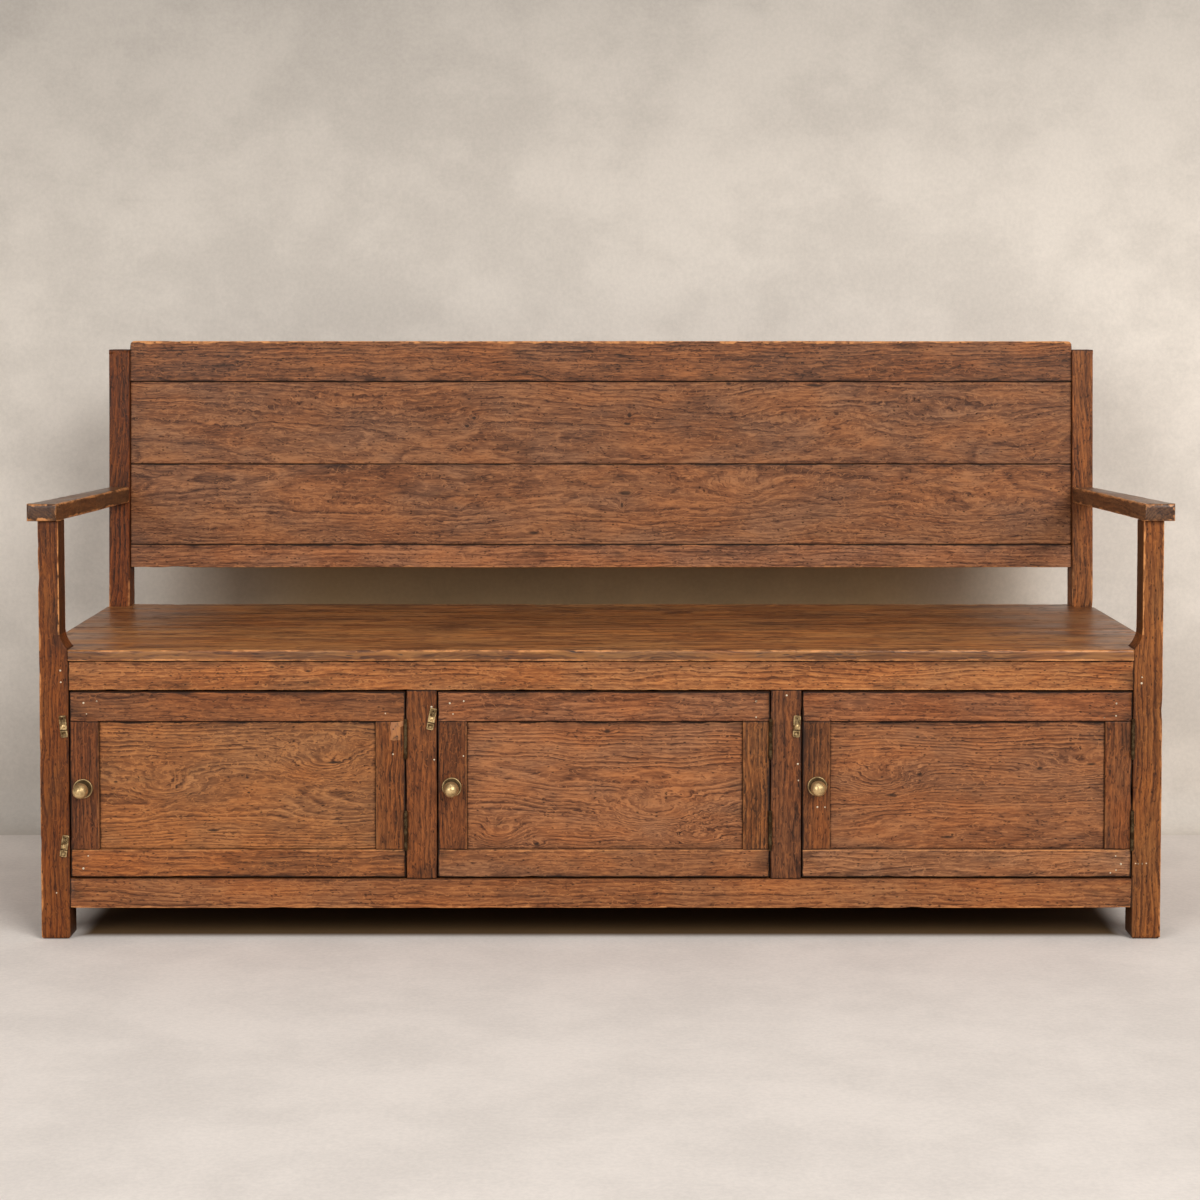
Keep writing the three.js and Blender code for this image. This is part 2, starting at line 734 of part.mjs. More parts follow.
// The opening in the door's frame, grown by the reach of the panel or the depth of its groove
function panelBlock({ bay, panelDepth, sill, head }, reach, clearance) {
  return block(
    [bay[0] - reach, bay[1] + reach],
    panelDepth,
    [sill[1] - reach, head[0] + reach],
    clearance,
  );
}

function stileTenons({ depth, sill, head }, [outer, inner]) {
  const inward = Math.sign(inner - outer);
  const middle = (depth[0] + depth[1]) / 2;
  const across = [outer + inward * doorTenonInset, inner - inward * tenonShoulder];
  const thickness = [middle - doorTenonThickness / 2, middle + doorTenonThickness / 2];
  return [
    [across, thickness, [head[0] - fit - overrun, head[0] + doorTenonLength - fit]],
    [across, thickness, [sill[1] - doorTenonLength + fit, sill[1] + fit + overrun]],
  ];
}

function doorRail(frame, level) {
  const stiles = [[frame.left, frame.bay[0]], [frame.right, frame.bay[1]]];
  const tenons = stiles.flatMap((stile) => stileTenons(frame, stile));
  const mortises = tenons.map((spans) => block(...spans, fit));
  const groove = panelBlock(frame, grooveDepth - fit, fit);
  return cut(block([frame.left, frame.right], frame.depth, level), groove, ...mortises, ...frame.gains);
}

function doorStile(frame, outer, inner) {
  const body = block([outer, inner], frame.depth, [frame.sill[1] + fit, frame.head[0] - fit]);
  const tenons = stileTenons(frame, [outer, inner]).map((spans) => block(...spans));
  return cut(join(body, ...tenons), panelBlock(frame, grooveDepth - fit, fit), ...frame.gains);
}

// Where the knob stands on the door
function knobPlace(i, frame) {
  const across = THREE.MathUtils.lerp(frame.left, frame.bay[0], knobAcrossShares[i]);
  return new THREE.Vector3(across, frame.depth[0], doorSill + knobHeightShares[i] * doorHeight);
}

// A ball knob turned in one piece with its collar, dished flange and shank; its face points to the front
function knob() {
  const start = Math.asin(knobNeckRadius / knobBallRadius);
  const ball = Array.from({ length: knobBallSteps }, (_, i) => {
    const turn = start + (Math.PI - start) * i / knobBallSteps;
    const y = -knobBallReach + knobBallRadius * Math.cos(turn);
    return new THREE.Vector2(knobBallRadius * Math.sin(turn), y);
  });
  const profile = [
    [0, knobShankLength],
    [knobShankRadius, knobShankLength],
    [knobShankRadius, -fit],
    [knobFlangeRadius, -fit],
    [knobFlangeRadius, -knobFlangeThickness + knobFlangeEase],
    [knobFlangeRadius - knobFlangeEase, -knobFlangeThickness],
    [knobFlangeRadius - knobRimWidth, -knobFlangeThickness],
    [knobDishRadius, -knobDishThickness],
    [knobCollarRadius, -knobDishThickness],
    [knobCollarRadius, -knobCollarReach],
    [knobNeckRadius, -knobCollarReach - knobCollarTaper],
  ].map(([radius, y]) => new THREE.Vector2(radius, y));
  const tip = new THREE.Vector2(0, -knobBallReach - knobBallRadius);
  return new THREE.LatheGeometry([...profile, ...ball, tip].reverse(), knobFacets);
}

// A turn button, drawn upright about its screw with its back on the wood and its plain block at the foot
function turnButton() {
  const halfLength = buttonLength / 2 - buttonEase;
  const halfAcross = buttonWidth / 2 - buttonEase;
  const bar = new THREE.ExtrudeGeometry(outline([
    [-halfAcross, -halfLength, buttonCornerRadius], [halfAcross, -halfLength, buttonCornerRadius],
    [halfAcross, halfLength, buttonCornerRadius], [-halfAcross, halfLength, buttonCornerRadius],
  ]), {
    depth: buttonThickness - 2 * buttonEase,
    bevelThickness: buttonEase,
    bevelSize: buttonEase,
    bevelSegments: 1,
    curveSegments: 3,
  }).rotateX(Math.PI / 2).translate(0, -fit - buttonEase, 0);
  const face = -fit - buttonThickness;
  const groove = block(
    [-buttonWidth, buttonWidth],
    [face - overrun, face + buttonGrooveDepth],
    [-buttonGrooveOffset - buttonGrooveWidth / 2, -buttonGrooveOffset + buttonGrooveWidth / 2],
  );
  const sink = new THREE.CylinderGeometry(
    buttonScrewRadius,
    buttonSinkRadius,
    buttonSinkDepth,
    buttonFacets,
  ).translate(0, face + buttonSinkDepth / 2, 0);
  const sunk = (span) => block(
    [buttonRim - buttonWidth / 2, buttonWidth / 2 - buttonRim],
    [face - overrun, face + buttonSunkDepth],
    span,
  );
  const footSpan = [buttonRim - buttonLength / 2, -buttonGrooveOffset - buttonGrooveWidth / 2 - buttonRim];
  const bossHeight = (footSpan[0] + footSpan[1]) / 2;
  const boss = rod(0, bossHeight, buttonBossRadius, [face - 2 * overrun, face + overrun], buttonFacets);
  const foot = cut(sunk(footSpan), boss);
  const head = sunk([buttonSinkRadius + buttonRim / 2, buttonLength / 2 - buttonRim]);
  const eyeHeight = buttonLength / 2 - buttonEyeInset;
  const eye = rod(0, eyeHeight, buttonEyeRadius, [face - overrun, face + buttonEyeDepth], buttonFacets);
  const pits = [-1, 1].map((side) => rod(
    side * buttonPitPlace[0],
    buttonPitPlace[1],
    buttonPitRadius,
    [face - overrun, face + buttonPitDepth],
    buttonPitFacets,
  ));
  const screwHole = rod(0, 0, buttonScrewRadius, [face - overrun, overrun], buttonFacets);
  return cut(bar, groove, screwHole, sink, foot, head, eye, ...pits);
}

function frameGroup() {
  const group = new THREE.Group();
  for (const [side, name] of [[-1, 'left'], [1, 'right']]) {
    const topRail = endRail(side, railUnderside, railHeight, railUnderside, 1);
    const bottomRail = endRail(side, bottomRailClearance, bottomRailHeight, bottomRailTop, -1);
    group.add(
      piece(`front_post_${name}`, frontPost(side), teak(redTeak)),
      piece(`rear_post_${name}`, rearPost(side), teak(darkTeak)),
      piece(`arm_${name}`, arm(side), teak(redTeak)),
      piece(`end_top_rail_${name}`, topRail, teak(redTeak)),
      piece(`end_bottom_rail_${name}`, bottomRail, teak(redTeak)),
      piece(`end_panel_${name}`, endPanel(side), teak(redTeak)),
    );
  }
  const topRail = frontRail(railUnderside, railHeight, railUnderside, 1);
  const bottomRail = frontRail(bottomRailClearance, bottomRailHeight, bottomRailTop, -1);
  group.add(
    piece('front_top_rail', topRail, teak(goldenTeak)),
    piece('front_bottom_rail', bottomRail, teak(goldenTeak)),
    piece('rear_plank', rearPlank(), teak(darkTeak)),
    piece('cupboard_floor', cupboardFloor(), teak(darkTeak)),
    piece('seat_front_board', seatFrontBoard(), teak(goldenTeak)),
    piece('seat_rear_board', seatRearBoard(), teak(goldenTeak)),
  );
  ['left', 'right'].forEach((name, i) => {
    group.add(
      piece(`muntin_${name}`, muntin(i), teak(darkTeak)),
      piece(`partition_${name}`, partition(i), teak(darkTeak)),
    );
  });
  return group;
}

function backGroup() {
  const group = new THREE.Group();
  group.position.set(0, postSpacing, seatHeight);
  group.rotation.x = -backRake;
  group.add(
    piece('back_top_rail', backTopRail(), teak(darkTeak)),
    piece('back_upper_board', upperBackBoard(), teak(redTeak)),
    piece('back_lower_board', lowerBackBoard(), teak(redTeak)),
    piece('back_bottom_rail', backBottomRail(), teak(redTeak)),
  );
  return group;
}

function doorGroup(i) {
  const name = doorNames[i];
  const frame = doorFrame(i);
  const place = knobPlace(i, frame);
  const shankHole = rod(
    place.x,
    place.z,
    knobShankRadius + fit,
    [place.y - overrun, place.y + knobShankLength + fit],
    knobFacets,
  );
  const latchStile = cut(doorStile(frame, frame.left, frame.bay[0]), shankHole);
  const ball = piece(`knob_${name}`, knob(), agedBrass());
  ball.position.copy(place);
  const group = new THREE.Group();
  group.position.set(hingeAxisX[i], hingeAxisY, 0);
  group.add(
    piece(`door_${name}_top_rail`, doorRail(frame, frame.head), teak(redTeak)),
    piece(`door_${name}_bottom_rail`, doorRail(frame, frame.sill), teak(redTeak)),
    piece(`door_${name}_latch_stile`, latchStile, teak(redTeak)),
    piece(`door_${name}_hinge_stile`, doorStile(frame, frame.right, frame.bay[1]), teak(redTeak)),
    piece(`door_${name}_panel`, panelBlock(frame, panelReach, 0), teak(redTeak)),
    ball,
  );
  for (const [level, height] of Object.entries(hingeHeights)) {
    for (const [side, owner] of [[-1, 'door'], [1, 'frame']]) {
      const leaf = piece(`hinge_${name}_${level}_${owner}_leaf`, hingeLeaf(side), agedBrass());
      leaf.position.z = height;
      group.add(leaf);
    }
  }
  return group;
}

function buttonGroup() {
  const group = new THREE.Group();
  for (const { name, door, heightShare, lean: tilt } of turnButtons) {
    const button = piece(`turn_button_${name}`, turnButton(), agedBrass());
    const face = door === 0 ? 0 : faceSetback;
    button.position.set(doorEdges[door].left - buttonOffset, face, doorSill + heightShare * doorHeight);
    button.rotation.y = tilt;
    group.add(button);
  }
  return group;
}

// The bench stands with the middle of its outer box over the origin
const bench = new THREE.Group();
const assembly = new THREE.Group();
assembly.add(frameGroup(), backGroup(), ...doorNames.map((name, i) => doorGroup(i)), buttonGroup());
bench.add(assembly);
assembly.position.y = -new THREE.Box3().setFromObject(bench, true).getCenter(new THREE.Vector3()).y;

export default bench;
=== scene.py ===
"""Monks bench: the wood, the brass, the small fastenings, the stage and the camera.

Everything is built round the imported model, in metres, with the front of the bench facing -Y.
"""
import json
import math

import bmesh
import bpy
import numpy as np
from bpy.props import FloatProperty, FloatVectorProperty, IntProperty, PointerProperty
from mathutils import Matrix, Vector, noise
from mathutils.kdtree import KDTree

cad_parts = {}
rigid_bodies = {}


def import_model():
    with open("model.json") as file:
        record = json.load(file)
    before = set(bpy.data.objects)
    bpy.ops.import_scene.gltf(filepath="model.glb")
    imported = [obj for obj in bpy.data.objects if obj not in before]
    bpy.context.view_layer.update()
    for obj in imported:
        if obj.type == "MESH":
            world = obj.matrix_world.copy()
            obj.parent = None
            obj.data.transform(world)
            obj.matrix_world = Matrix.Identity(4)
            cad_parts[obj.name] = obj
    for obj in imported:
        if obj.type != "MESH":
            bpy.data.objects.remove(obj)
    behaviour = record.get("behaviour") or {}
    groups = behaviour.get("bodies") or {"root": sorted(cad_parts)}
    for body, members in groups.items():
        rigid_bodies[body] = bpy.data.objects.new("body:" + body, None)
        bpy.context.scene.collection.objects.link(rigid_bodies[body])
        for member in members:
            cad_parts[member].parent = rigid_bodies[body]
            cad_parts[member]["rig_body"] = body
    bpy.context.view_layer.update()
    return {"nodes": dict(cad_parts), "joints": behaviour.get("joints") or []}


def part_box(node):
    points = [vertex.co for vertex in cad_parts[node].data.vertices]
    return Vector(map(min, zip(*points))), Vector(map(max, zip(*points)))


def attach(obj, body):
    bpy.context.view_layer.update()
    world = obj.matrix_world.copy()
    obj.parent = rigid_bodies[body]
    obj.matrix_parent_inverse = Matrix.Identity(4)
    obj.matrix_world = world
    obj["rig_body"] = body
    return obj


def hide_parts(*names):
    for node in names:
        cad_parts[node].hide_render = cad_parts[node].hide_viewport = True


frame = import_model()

bl_info = {
    "name": "Monks Bench",
    "version": (1, 0, 0),
    "blender": (4, 5, 0),
    "location": "3D View > Sidebar > Bench",
    "description": "Dresses the frame of a panelled monks bench in worn teak and aged brass",
    "category": "Add Mesh",
}

MM = 0.001

# Vector noise starts from the clock unless it is given a seed, and then no two runs have the same shapes
NOISE_SEED = 12

# Places on the bench that several pieces share
RAKE = math.radians(2.5)
DOOR_NAMES = ("left", "middle", "right")
POST_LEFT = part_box("front_post_left")
POST_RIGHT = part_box("front_post_right")
REAR_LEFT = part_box("rear_post_left")
REAR_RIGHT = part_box("rear_post_right")
DOOR_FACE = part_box("door_left_top_rail")[0].y
RAIL_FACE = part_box("front_top_rail")[0].y
POST_FACE = POST_LEFT[0].y
HINGE_PINS = {j["child"]: Vector(j["pos_m"]) for j in frame["joints"] if j["child"].startswith("door_")}

# How a board lies: the rows give its length, its width and its thickness in the bench's own axes
ALONG_FRONT = Matrix(((1, 0, 0), (0, 0, 1), (0, -1, 0)))
ALONG_BACK = Matrix((
    (1, 0, 0),
    (0, math.sin(RAKE), math.cos(RAKE)),
    (0, -math.cos(RAKE), math.sin(RAKE)),
))
UPRIGHT = Matrix(((0, 0, 1), (-1, 0, 0), (0, -1, 0)))
ALONG_END = Matrix(((0, 1, 0), (0, 0, 1), (1, 0, 0)))
FLAT_ACROSS = Matrix(((1, 0, 0), (0, 1, 0), (0, 0, 1)))
FLAT_DEEP = Matrix(((0, 1, 0), (-1, 0, 0), (0, 0, 1)))


def linear(red, green, blue):
    """A colour given as it looks on a screen, 0 to 255, turned into the linear values that shaders use."""
    def channel(value):
        share = value / 255
        return share / 12.92 if share <= 0.04045 else ((share + 0.055) / 1.055) ** 2.4
    return (channel(red), channel(green), channel(blue))


def colour_property(name, description, default):
    return FloatVectorProperty(name=name, description=description, subtype="COLOR", size=3, min=0, max=1,
                               default=linear(*default))


def length_property(name, description, default):
    return FloatProperty(name=name, description=description, subtype="DISTANCE", unit="LENGTH",
                         default=default)


class BenchWood(bpy.types.PropertyGroup):
    """Sizes and colours of the wood."""
    loop_gap: length_property("Loop gap", "Distance between the cuts along a board that carry its unevenness",
                              9 * MM)
    arris: length_property("Arris", "Width of the worn round along an edge", 2.2 * MM)
    unevenness: length_property("Unevenness", "How far a surface wanders from true over a hand's width",
                                0.5 * MM)
    roughcut: length_property("Rough cut", "How far an edge wanders over a finger's width", 0.25 * MM)
    chip: length_property("Chip", "Depth of the knocks along an edge", 1.4 * MM)
    red_dark: colour_property("Red teak, dark", "Darkest grain of the red wood", (86, 50, 30))
    red_mid: colour_property("Red teak", "Body of the red wood", (140, 88, 55))
    red_light: colour_property("Red teak, light", "Lightest grain of the red wood", (186, 124, 78))
    dark_dark: colour_property("Dark teak, dark", "Darkest grain of the dark wood", (62, 38, 25))
    dark_mid: colour_property("Dark teak", "Body of the dark wood", (116, 71, 46))
    dark_light: colour_property("Dark teak, light", "Lightest grain of the dark wood", (164, 106, 68))
    golden_dark: colour_property("Golden teak, dark", "Darkest grain of the golden wood", (100, 58, 32))
    golden_mid: colour_property("Golden teak", "Body of the golden wood", (158, 99, 59))
    golden_light: colour_property("Golden teak, light", "Lightest grain of the golden wood", (204, 138, 84))
    worn: colour_property("Worn edge", "Bare wood where edges are rubbed", (214, 146, 88))
    # A dark soiling colour, which also paints shade into joints, corners, side faces, gaps and recesses
    grime_and_shade: colour_property("Grime and Shade", "Dirt in the joints and corners", (30, 19, 13))
    cool: FloatVectorProperty(name="Cool patches", description="What the greyer patches multiply the wood by",
                              default=(0.92, 0.99, 1.12), min=0, max=2)
    warm: FloatVectorProperty(name="Warm patches", description="What the redder patches multiply the wood by",
                              default=(1.07, 0.99, 0.88), min=0, max=2)
    patch: colour_property("Patch", "The let-in patch on the left door", (166, 108, 58))


class BenchBrass(bpy.types.PropertyGroup):
    """Colours and small sizes of the metal."""
    bright: colour_property("Bright brass", "Brass where hands polish it", (232, 200, 144))
    tarnish: colour_property("Tarnish", "Brown skin on old brass", (98, 68, 36))
    steel: colour_property("Nail metal", "Head of a nail", (208, 192, 164))
    nail_radius: length_property("Nail radius", "Half the width of a nail head", 1.5 * MM)
    nail_dome: length_property("Nail dome", "Height of a nail head", 0.5 * MM)
    screw_radius: length_property("Screw radius", "Half the width of a hinge screw's head", 2.6 * MM)
    button_screw_radius: length_property("Button screw radius", "Half the width of a button screw's head",
                                         2.9 * MM)
    slot_width: length_property("Slot width", "Width of the slot in a screw", 0.8 * MM)
    knob_facets: IntProperty(name="Knob facets", description="Steps round a knob", default=72, min=12)


class BenchStage(bpy.types.PropertyGroup):
    """The camera, the floor, the wall and the lights."""
    lens: FloatProperty(name="Lens", description="Focal length on a 36 mm sensor", subtype="DISTANCE_CAMERA",
                        unit="CAMERA", default=72)
    eye_height: length_property("Eye height", "Camera above the floor", 1.03628)
    eye_distance: length_property("Eye distance", "Camera in front of the front posts", 3.88399)
    pitch: FloatProperty(name="Pitch", description="How far the camera looks down", subtype="ANGLE",
                         default=math.radians(2.593))
    shift_across: FloatProperty(name="Shift across", description="Lens shift, share of the frame",
                                default=-0.00083)
    shift_up: FloatProperty(name="Shift up", description="Lens shift, share of the frame", default=-0.15525)
    wall_distance: length_property("Wall distance", "Wall behind the faces of the front posts", 0.86)
    cove: length_property("Cove", "Radius between the floor and the wall", 0.09)
    wall: colour_property("Wall", "Colour of the wall", (208, 200, 190))
    floor: colour_property("Floor", "Colour of the floor", (228, 220, 213))
    key_power: FloatProperty(name="Key light", description="Power of the light at the upper right, in watts",
                             default=430)
    fill_power: FloatProperty(name="Fill light", description="Power of the light from the left, in watts",
                              default=140)
    top_power: FloatProperty(name="Top light", description="Power of the light overhead, in watts",
                             default=18)
    rear_power: FloatProperty(name="Rear light", description="Power of the light behind, in watts",
                              default=10)
    room_light: FloatProperty(name="Room light", description="Strength of the even light all round",
                              default=0.2)


# Shader trees

def add_node(tree, kind, inputs=(), **settings):
    """A node with its settings, and with values or links on the inputs named."""
    made = tree.nodes.new(kind)
    for name, value in settings.items():
        setattr(made, name, value)
    for name, value in dict(inputs).items():
        feed(tree, made.inputs[name], value)
    return made


def feed(tree, socket, value):
    """Links an output to a socket, or sets its value."""
    if isinstance(value, bpy.types.NodeSocket):
        tree.links.new(value, socket)
    elif hasattr(value, "__len__") and len(value) == 3 and socket.type == "RGBA":
        socket.default_value = (*value, 1)
    else:
        socket.default_value = value


def calc(tree, operation, *values, clamp=False):
    made = tree.nodes.new("ShaderNodeMath")
    made.operation = operation
    made.use_clamp = clamp
    for socket, value in zip(made.inputs, values):
        feed(tree, socket, value)
    return made.outputs[0]


def vector_calc(tree, operation, *values):
    made = tree.nodes.new("ShaderNodeVectorMath")
    made.operation = operation
    for socket, value in zip(made.inputs, values):
        feed(tree, socket, value)
    return made.outputs["Value"] if operation in ("LENGTH", "DOT_PRODUCT") else made.outputs["Vector"]


def span(tree, value, low, high, to_low=0, to_high=1):
    """value taken smoothly from low..high to to_low..to_high."""
    made = add_node(tree, "ShaderNodeMapRange", {"Value": value, "From Min": low, "From Max": high,
                                                 "To Min": to_low, "To Max": to_high},
                    interpolation_type="SMOOTHSTEP")
    return made.outputs["Result"]


def blend(tree, share, first, second, mode="MIX"):
    """Two colours mixed."""
    made = add_node(tree, "ShaderNodeMix", data_type="RGBA", blend_type=mode)
    feed(tree, made.inputs["Factor"], share)
    feed(tree, made.inputs[6], first)
    feed(tree, made.inputs[7], second)
    return made.outputs[2]


def split(tree, vector):
    made = add_node(tree, "ShaderNodeSeparateXYZ", {"Vector": vector})
    return made.outputs[0], made.outputs[1], made.outputs[2]


def merge(tree, x, y, z):
    return add_node(tree, "ShaderNodeCombineXYZ", {"X": x, "Y": y, "Z": z}).outputs[0]


def cloud(tree, vector, seed, frequency, detail=2.0, roughness=0.55):
    """Noise with its own frequency on each axis, in cycles per metre. Each seed looks at another part."""
    shift = seed if isinstance(seed, bpy.types.NodeSocket) else (seed, seed, seed)
    scaled = vector_calc(tree, "MULTIPLY_ADD", vector, frequency, shift)
    made = add_node(tree, "ShaderNodeTexNoise", {"Vector": scaled, "Scale": 1.0, "Detail": detail,
                                                 "Roughness": roughness})
    return made.outputs[0]


def new_group(name, inputs, outputs):
    """An empty node group with named sockets; returns the group, its input node and its output node."""
    group = bpy.data.node_groups.new(name, "ShaderNodeTree")
    for label, kind, default in inputs:
        socket = group.interface.new_socket(label, in_out="INPUT", socket_type=f"NodeSocket{kind}")
        if default is not None:
            socket.default_value = (*default, 1) if kind == "Color" else default
    for label, kind in outputs:
        group.interface.new_socket(label, in_out="OUTPUT", socket_type=f"NodeSocket{kind}")
    return group, group.nodes.new("NodeGroupInput"), group.nodes.new("NodeGroupOutput")


def use_group(tree, name, inputs):
    made = tree.nodes.new("ShaderNodeGroup")
    made.node_tree = bpy.data.node_groups[name]
    for label, value in inputs.items():
        feed(tree, made.inputs[label], value)
    return made


def build_eye_group():
    """A knot or a swelling in the trunk, which pushes the grain aside."""
    group, given, result = new_group(
        "Bench Eye",
        [("Vector", "Vector", None), ("Centre", "Vector", None), ("Reach", "Vector", (0.03, 0.01, 1)),
         ("Push", "Float", 0.02), ("Heart Size", "Float", 0)],
        [("Lift", "Float"), ("Heart", "Float")])
    ragged = cloud(group, given.outputs["Vector"], 3.0, (45, 110, 110), 2)
    offset = vector_calc(group, "SUBTRACT", given.outputs["Vector"], given.outputs["Centre"])
    x, y, _z = split(group, vector_calc(group, "DIVIDE", offset, given.outputs["Reach"]))
    far = calc(group, "ADD", calc(group, "MULTIPLY", x, x), calc(group, "MULTIPLY", y, y))
    rough_far = calc(group, "MULTIPLY", far, span(group, ragged, 0.25, 0.75, 0.65, 1.35))
    fall = calc(group, "POWER", math.e, calc(group, "MULTIPLY", rough_far, -1))
    feed(group, result.inputs["Lift"], calc(group, "MULTIPLY", fall, given.outputs["Push"]))
    heart = span(group, rough_far, 0, given.outputs["Heart Size"], 1, 0)
    feed(group, result.inputs["Heart"], heart)


def build_flow_group():
    """Bends the coordinates across a board, so that whatever follows them wanders as grain does."""
    group, given, result = new_group(
        "Bench Flow",
        [("Vector", "Vector", None), ("Seed", "Float", 0), ("Wander", "Float", 0.03), ("Curl", "Float", 0.01),
         ("Lift", "Float", 0)],
        [("Flow", "Vector")])
    vector, seed, curl = given.outputs["Vector"], given.outputs["Seed"], given.outputs["Curl"]

    def wave(shift, frequency, size):
        noisy = cloud(group, vector, calc(group, "ADD", seed, shift), frequency, 2)
        return calc(group, "MULTIPLY", calc(group, "SUBTRACT", noisy, 0.5), size)

    x, y, z = split(group, vector)
    y = calc(group, "ADD", y, given.outputs["Lift"])
    y = calc(group, "ADD", y, wave(0.0, (2.4, 6, 6), given.outputs["Wander"]))
    y = calc(group, "ADD", y, wave(1.7, (13, 30, 30), curl))
    y = calc(group, "ADD", y, wave(2.9, (52, 110, 110), calc(group, "MULTIPLY", curl, 0.3)))
    z = calc(group, "ADD", z, wave(7.3, (4, 9, 9), given.outputs["Wander"]))
    feed(group, result.inputs["Flow"], merge(group, x, y, z))


def build_growth_group():
    """Growth rings as they come out on a sawn face: the distance from the pith, in ring widths."""
    group, given, result = new_group(
        "Bench Growth",
        [("Vector", "Vector", None), ("Flow", "Vector", None), ("Seed", "Float", 0),
         ("Spacing", "Float", 0.005), ("Pith", "Vector", (0, 0, -0.05))],
        [("Lines", "Float"), ("Gleams", "Float"), ("Bands", "Float")])
    vector, seed = given.outputs["Vector"], given.outputs["Seed"]
    _x, y, z = split(group, vector_calc(group, "SUBTRACT", given.outputs["Flow"], given.outputs["Pith"]))
    squares = calc(group, "ADD", calc(group, "MULTIPLY", y, y), calc(group, "MULTIPLY", z, z))
    far = calc(group, "SQRT", squares)
    rings = calc(group, "DIVIDE", far, given.outputs["Spacing"])
    place = calc(group, "FRACT", rings)
    line = calc(group, "MULTIPLY", span(group, place, 0.45, 0.85), span(group, place, 0.88, 1, 1, 0))
    number = merge(group, calc(group, "FLOOR", rings), seed, 0)
    white = add_node(group, "ShaderNodeTexWhiteNoise", {"Vector": number}, noise_dimensions="2D")
    chance = white.outputs["Value"]
    broken = cloud(group, vector, calc(group, "ADD", seed, 2.1), (7, 50, 50), 2)
    strength = calc(group, "MULTIPLY", span(group, chance, 0, 0.9, 0.3, 1),
                    span(group, broken, 0.3, 0.55, 0.2, 1))
    feed(group, result.inputs["Lines"], calc(group, "MULTIPLY", line, strength))
    gleam = calc(group, "MULTIPLY", span(group, place, 0.02, 0.1), span(group, place, 0.12, 0.3, 1, 0))
    feed(group, result.inputs["Gleams"], calc(group, "MULTIPLY", gleam, strength))
    slow = merge(group, calc(group, "MULTIPLY", rings, 0.37), seed, 0)
    feed(group, result.inputs["Bands"], add_node(group, "ShaderNodeTexNoise", {"Vector": slow, "Scale": 1.0,
                                                                               "Detail": 2.0}).outputs[0])


def build_fibre_group():
    """The fine life of the surface along the grain: fibres, flecks, hairlines, pores and changes of tone."""
    group, given, result = new_group(
        "Bench Fibre",
        [("Vector", "Vector", None), ("Flow", "Vector", None), ("Seed", "Float", 0), ("Stretch", "Float", 1),
         ("Widen", "Float", 1)],
        [("Fibre", "Float"), ("Streak", "Float"), ("Flecks", "Float"), ("Pits", "Float"), ("Hair", "Float"),
         ("Cracks", "Float"), ("Pores", "Float"), ("Tone", "Float"), ("Hue", "Float"), ("Smudge", "Float")])
    vector, seed = given.outputs["Vector"], given.outputs["Seed"]
    x, y, z = split(group, given.outputs["Flow"])
    flow = merge(group, calc(group, "DIVIDE", x, given.outputs["Stretch"]),
                 calc(group, "DIVIDE", y, given.outputs["Widen"]), z)

    def noisy(shift, frequency, detail=2.0, roughness=0.55, source=vector):
        return cloud(group, source, calc(group, "ADD", seed, shift), frequency, detail, roughness)

    feed(group, result.inputs["Fibre"], span(group, noisy(0.0, (44, 400, 400), 3, 0.65, flow), 0.33, 0.67))
    feed(group, result.inputs["Streak"], span(group, noisy(4.4, (9, 120, 120), 3, 0.6, flow), 0.3, 0.7))
    fleck = noisy(5.1, (90, 270, 270), 2, 0.55, flow)
    feed(group, result.inputs["Flecks"], span(group, fleck, 0.6, 0.7))
    feed(group, result.inputs["Pits"], span(group, fleck, 0.4, 0.3))
    for name, shift, frequency in (("Hair", 6.3, (52, 125, 125)), ("Cracks", 7.1, (30, 110, 110))):
        ridge = calc(group, "ABSOLUTE", calc(group, "SUBTRACT", noisy(shift, frequency, 1, 0.5, flow), 0.5))
        rare = span(group, noisy(shift + 2, (24, 60, 60), 1), 0.46, 0.56)
        feed(group, result.inputs[name], calc(group, "MULTIPLY", span(group, ridge, 0.006, 0.03, 1, 0), rare))
    feed(group, result.inputs["Tone"], span(group, noisy(9.9, (4.6, 14, 14), 3, 0.6), 0.32, 0.68))
    feed(group, result.inputs["Hue"], span(group, noisy(12.5, (6, 15, 15), 3, 0.6), 0.33, 0.67))
    cells = add_node(group, "ShaderNodeTexVoronoi",
                     {"Vector": vector_calc(group, "MULTIPLY", flow, (130, 300, 300)), "Scale": 1.0})
    chosen = split(group, cells.outputs["Color"])[0]
    dots = calc(group, "MULTIPLY", span(group, cells.outputs["Distance"], 0.16, 0.42, 1, 0),
                span(group, chosen, 0.88, 0.91))
    feed(group, result.inputs["Pores"], dots)
    feed(group, result.inputs["Smudge"], span(group, noisy(14.2, (9, 30, 30), 4, 0.65), 0.56, 0.72))


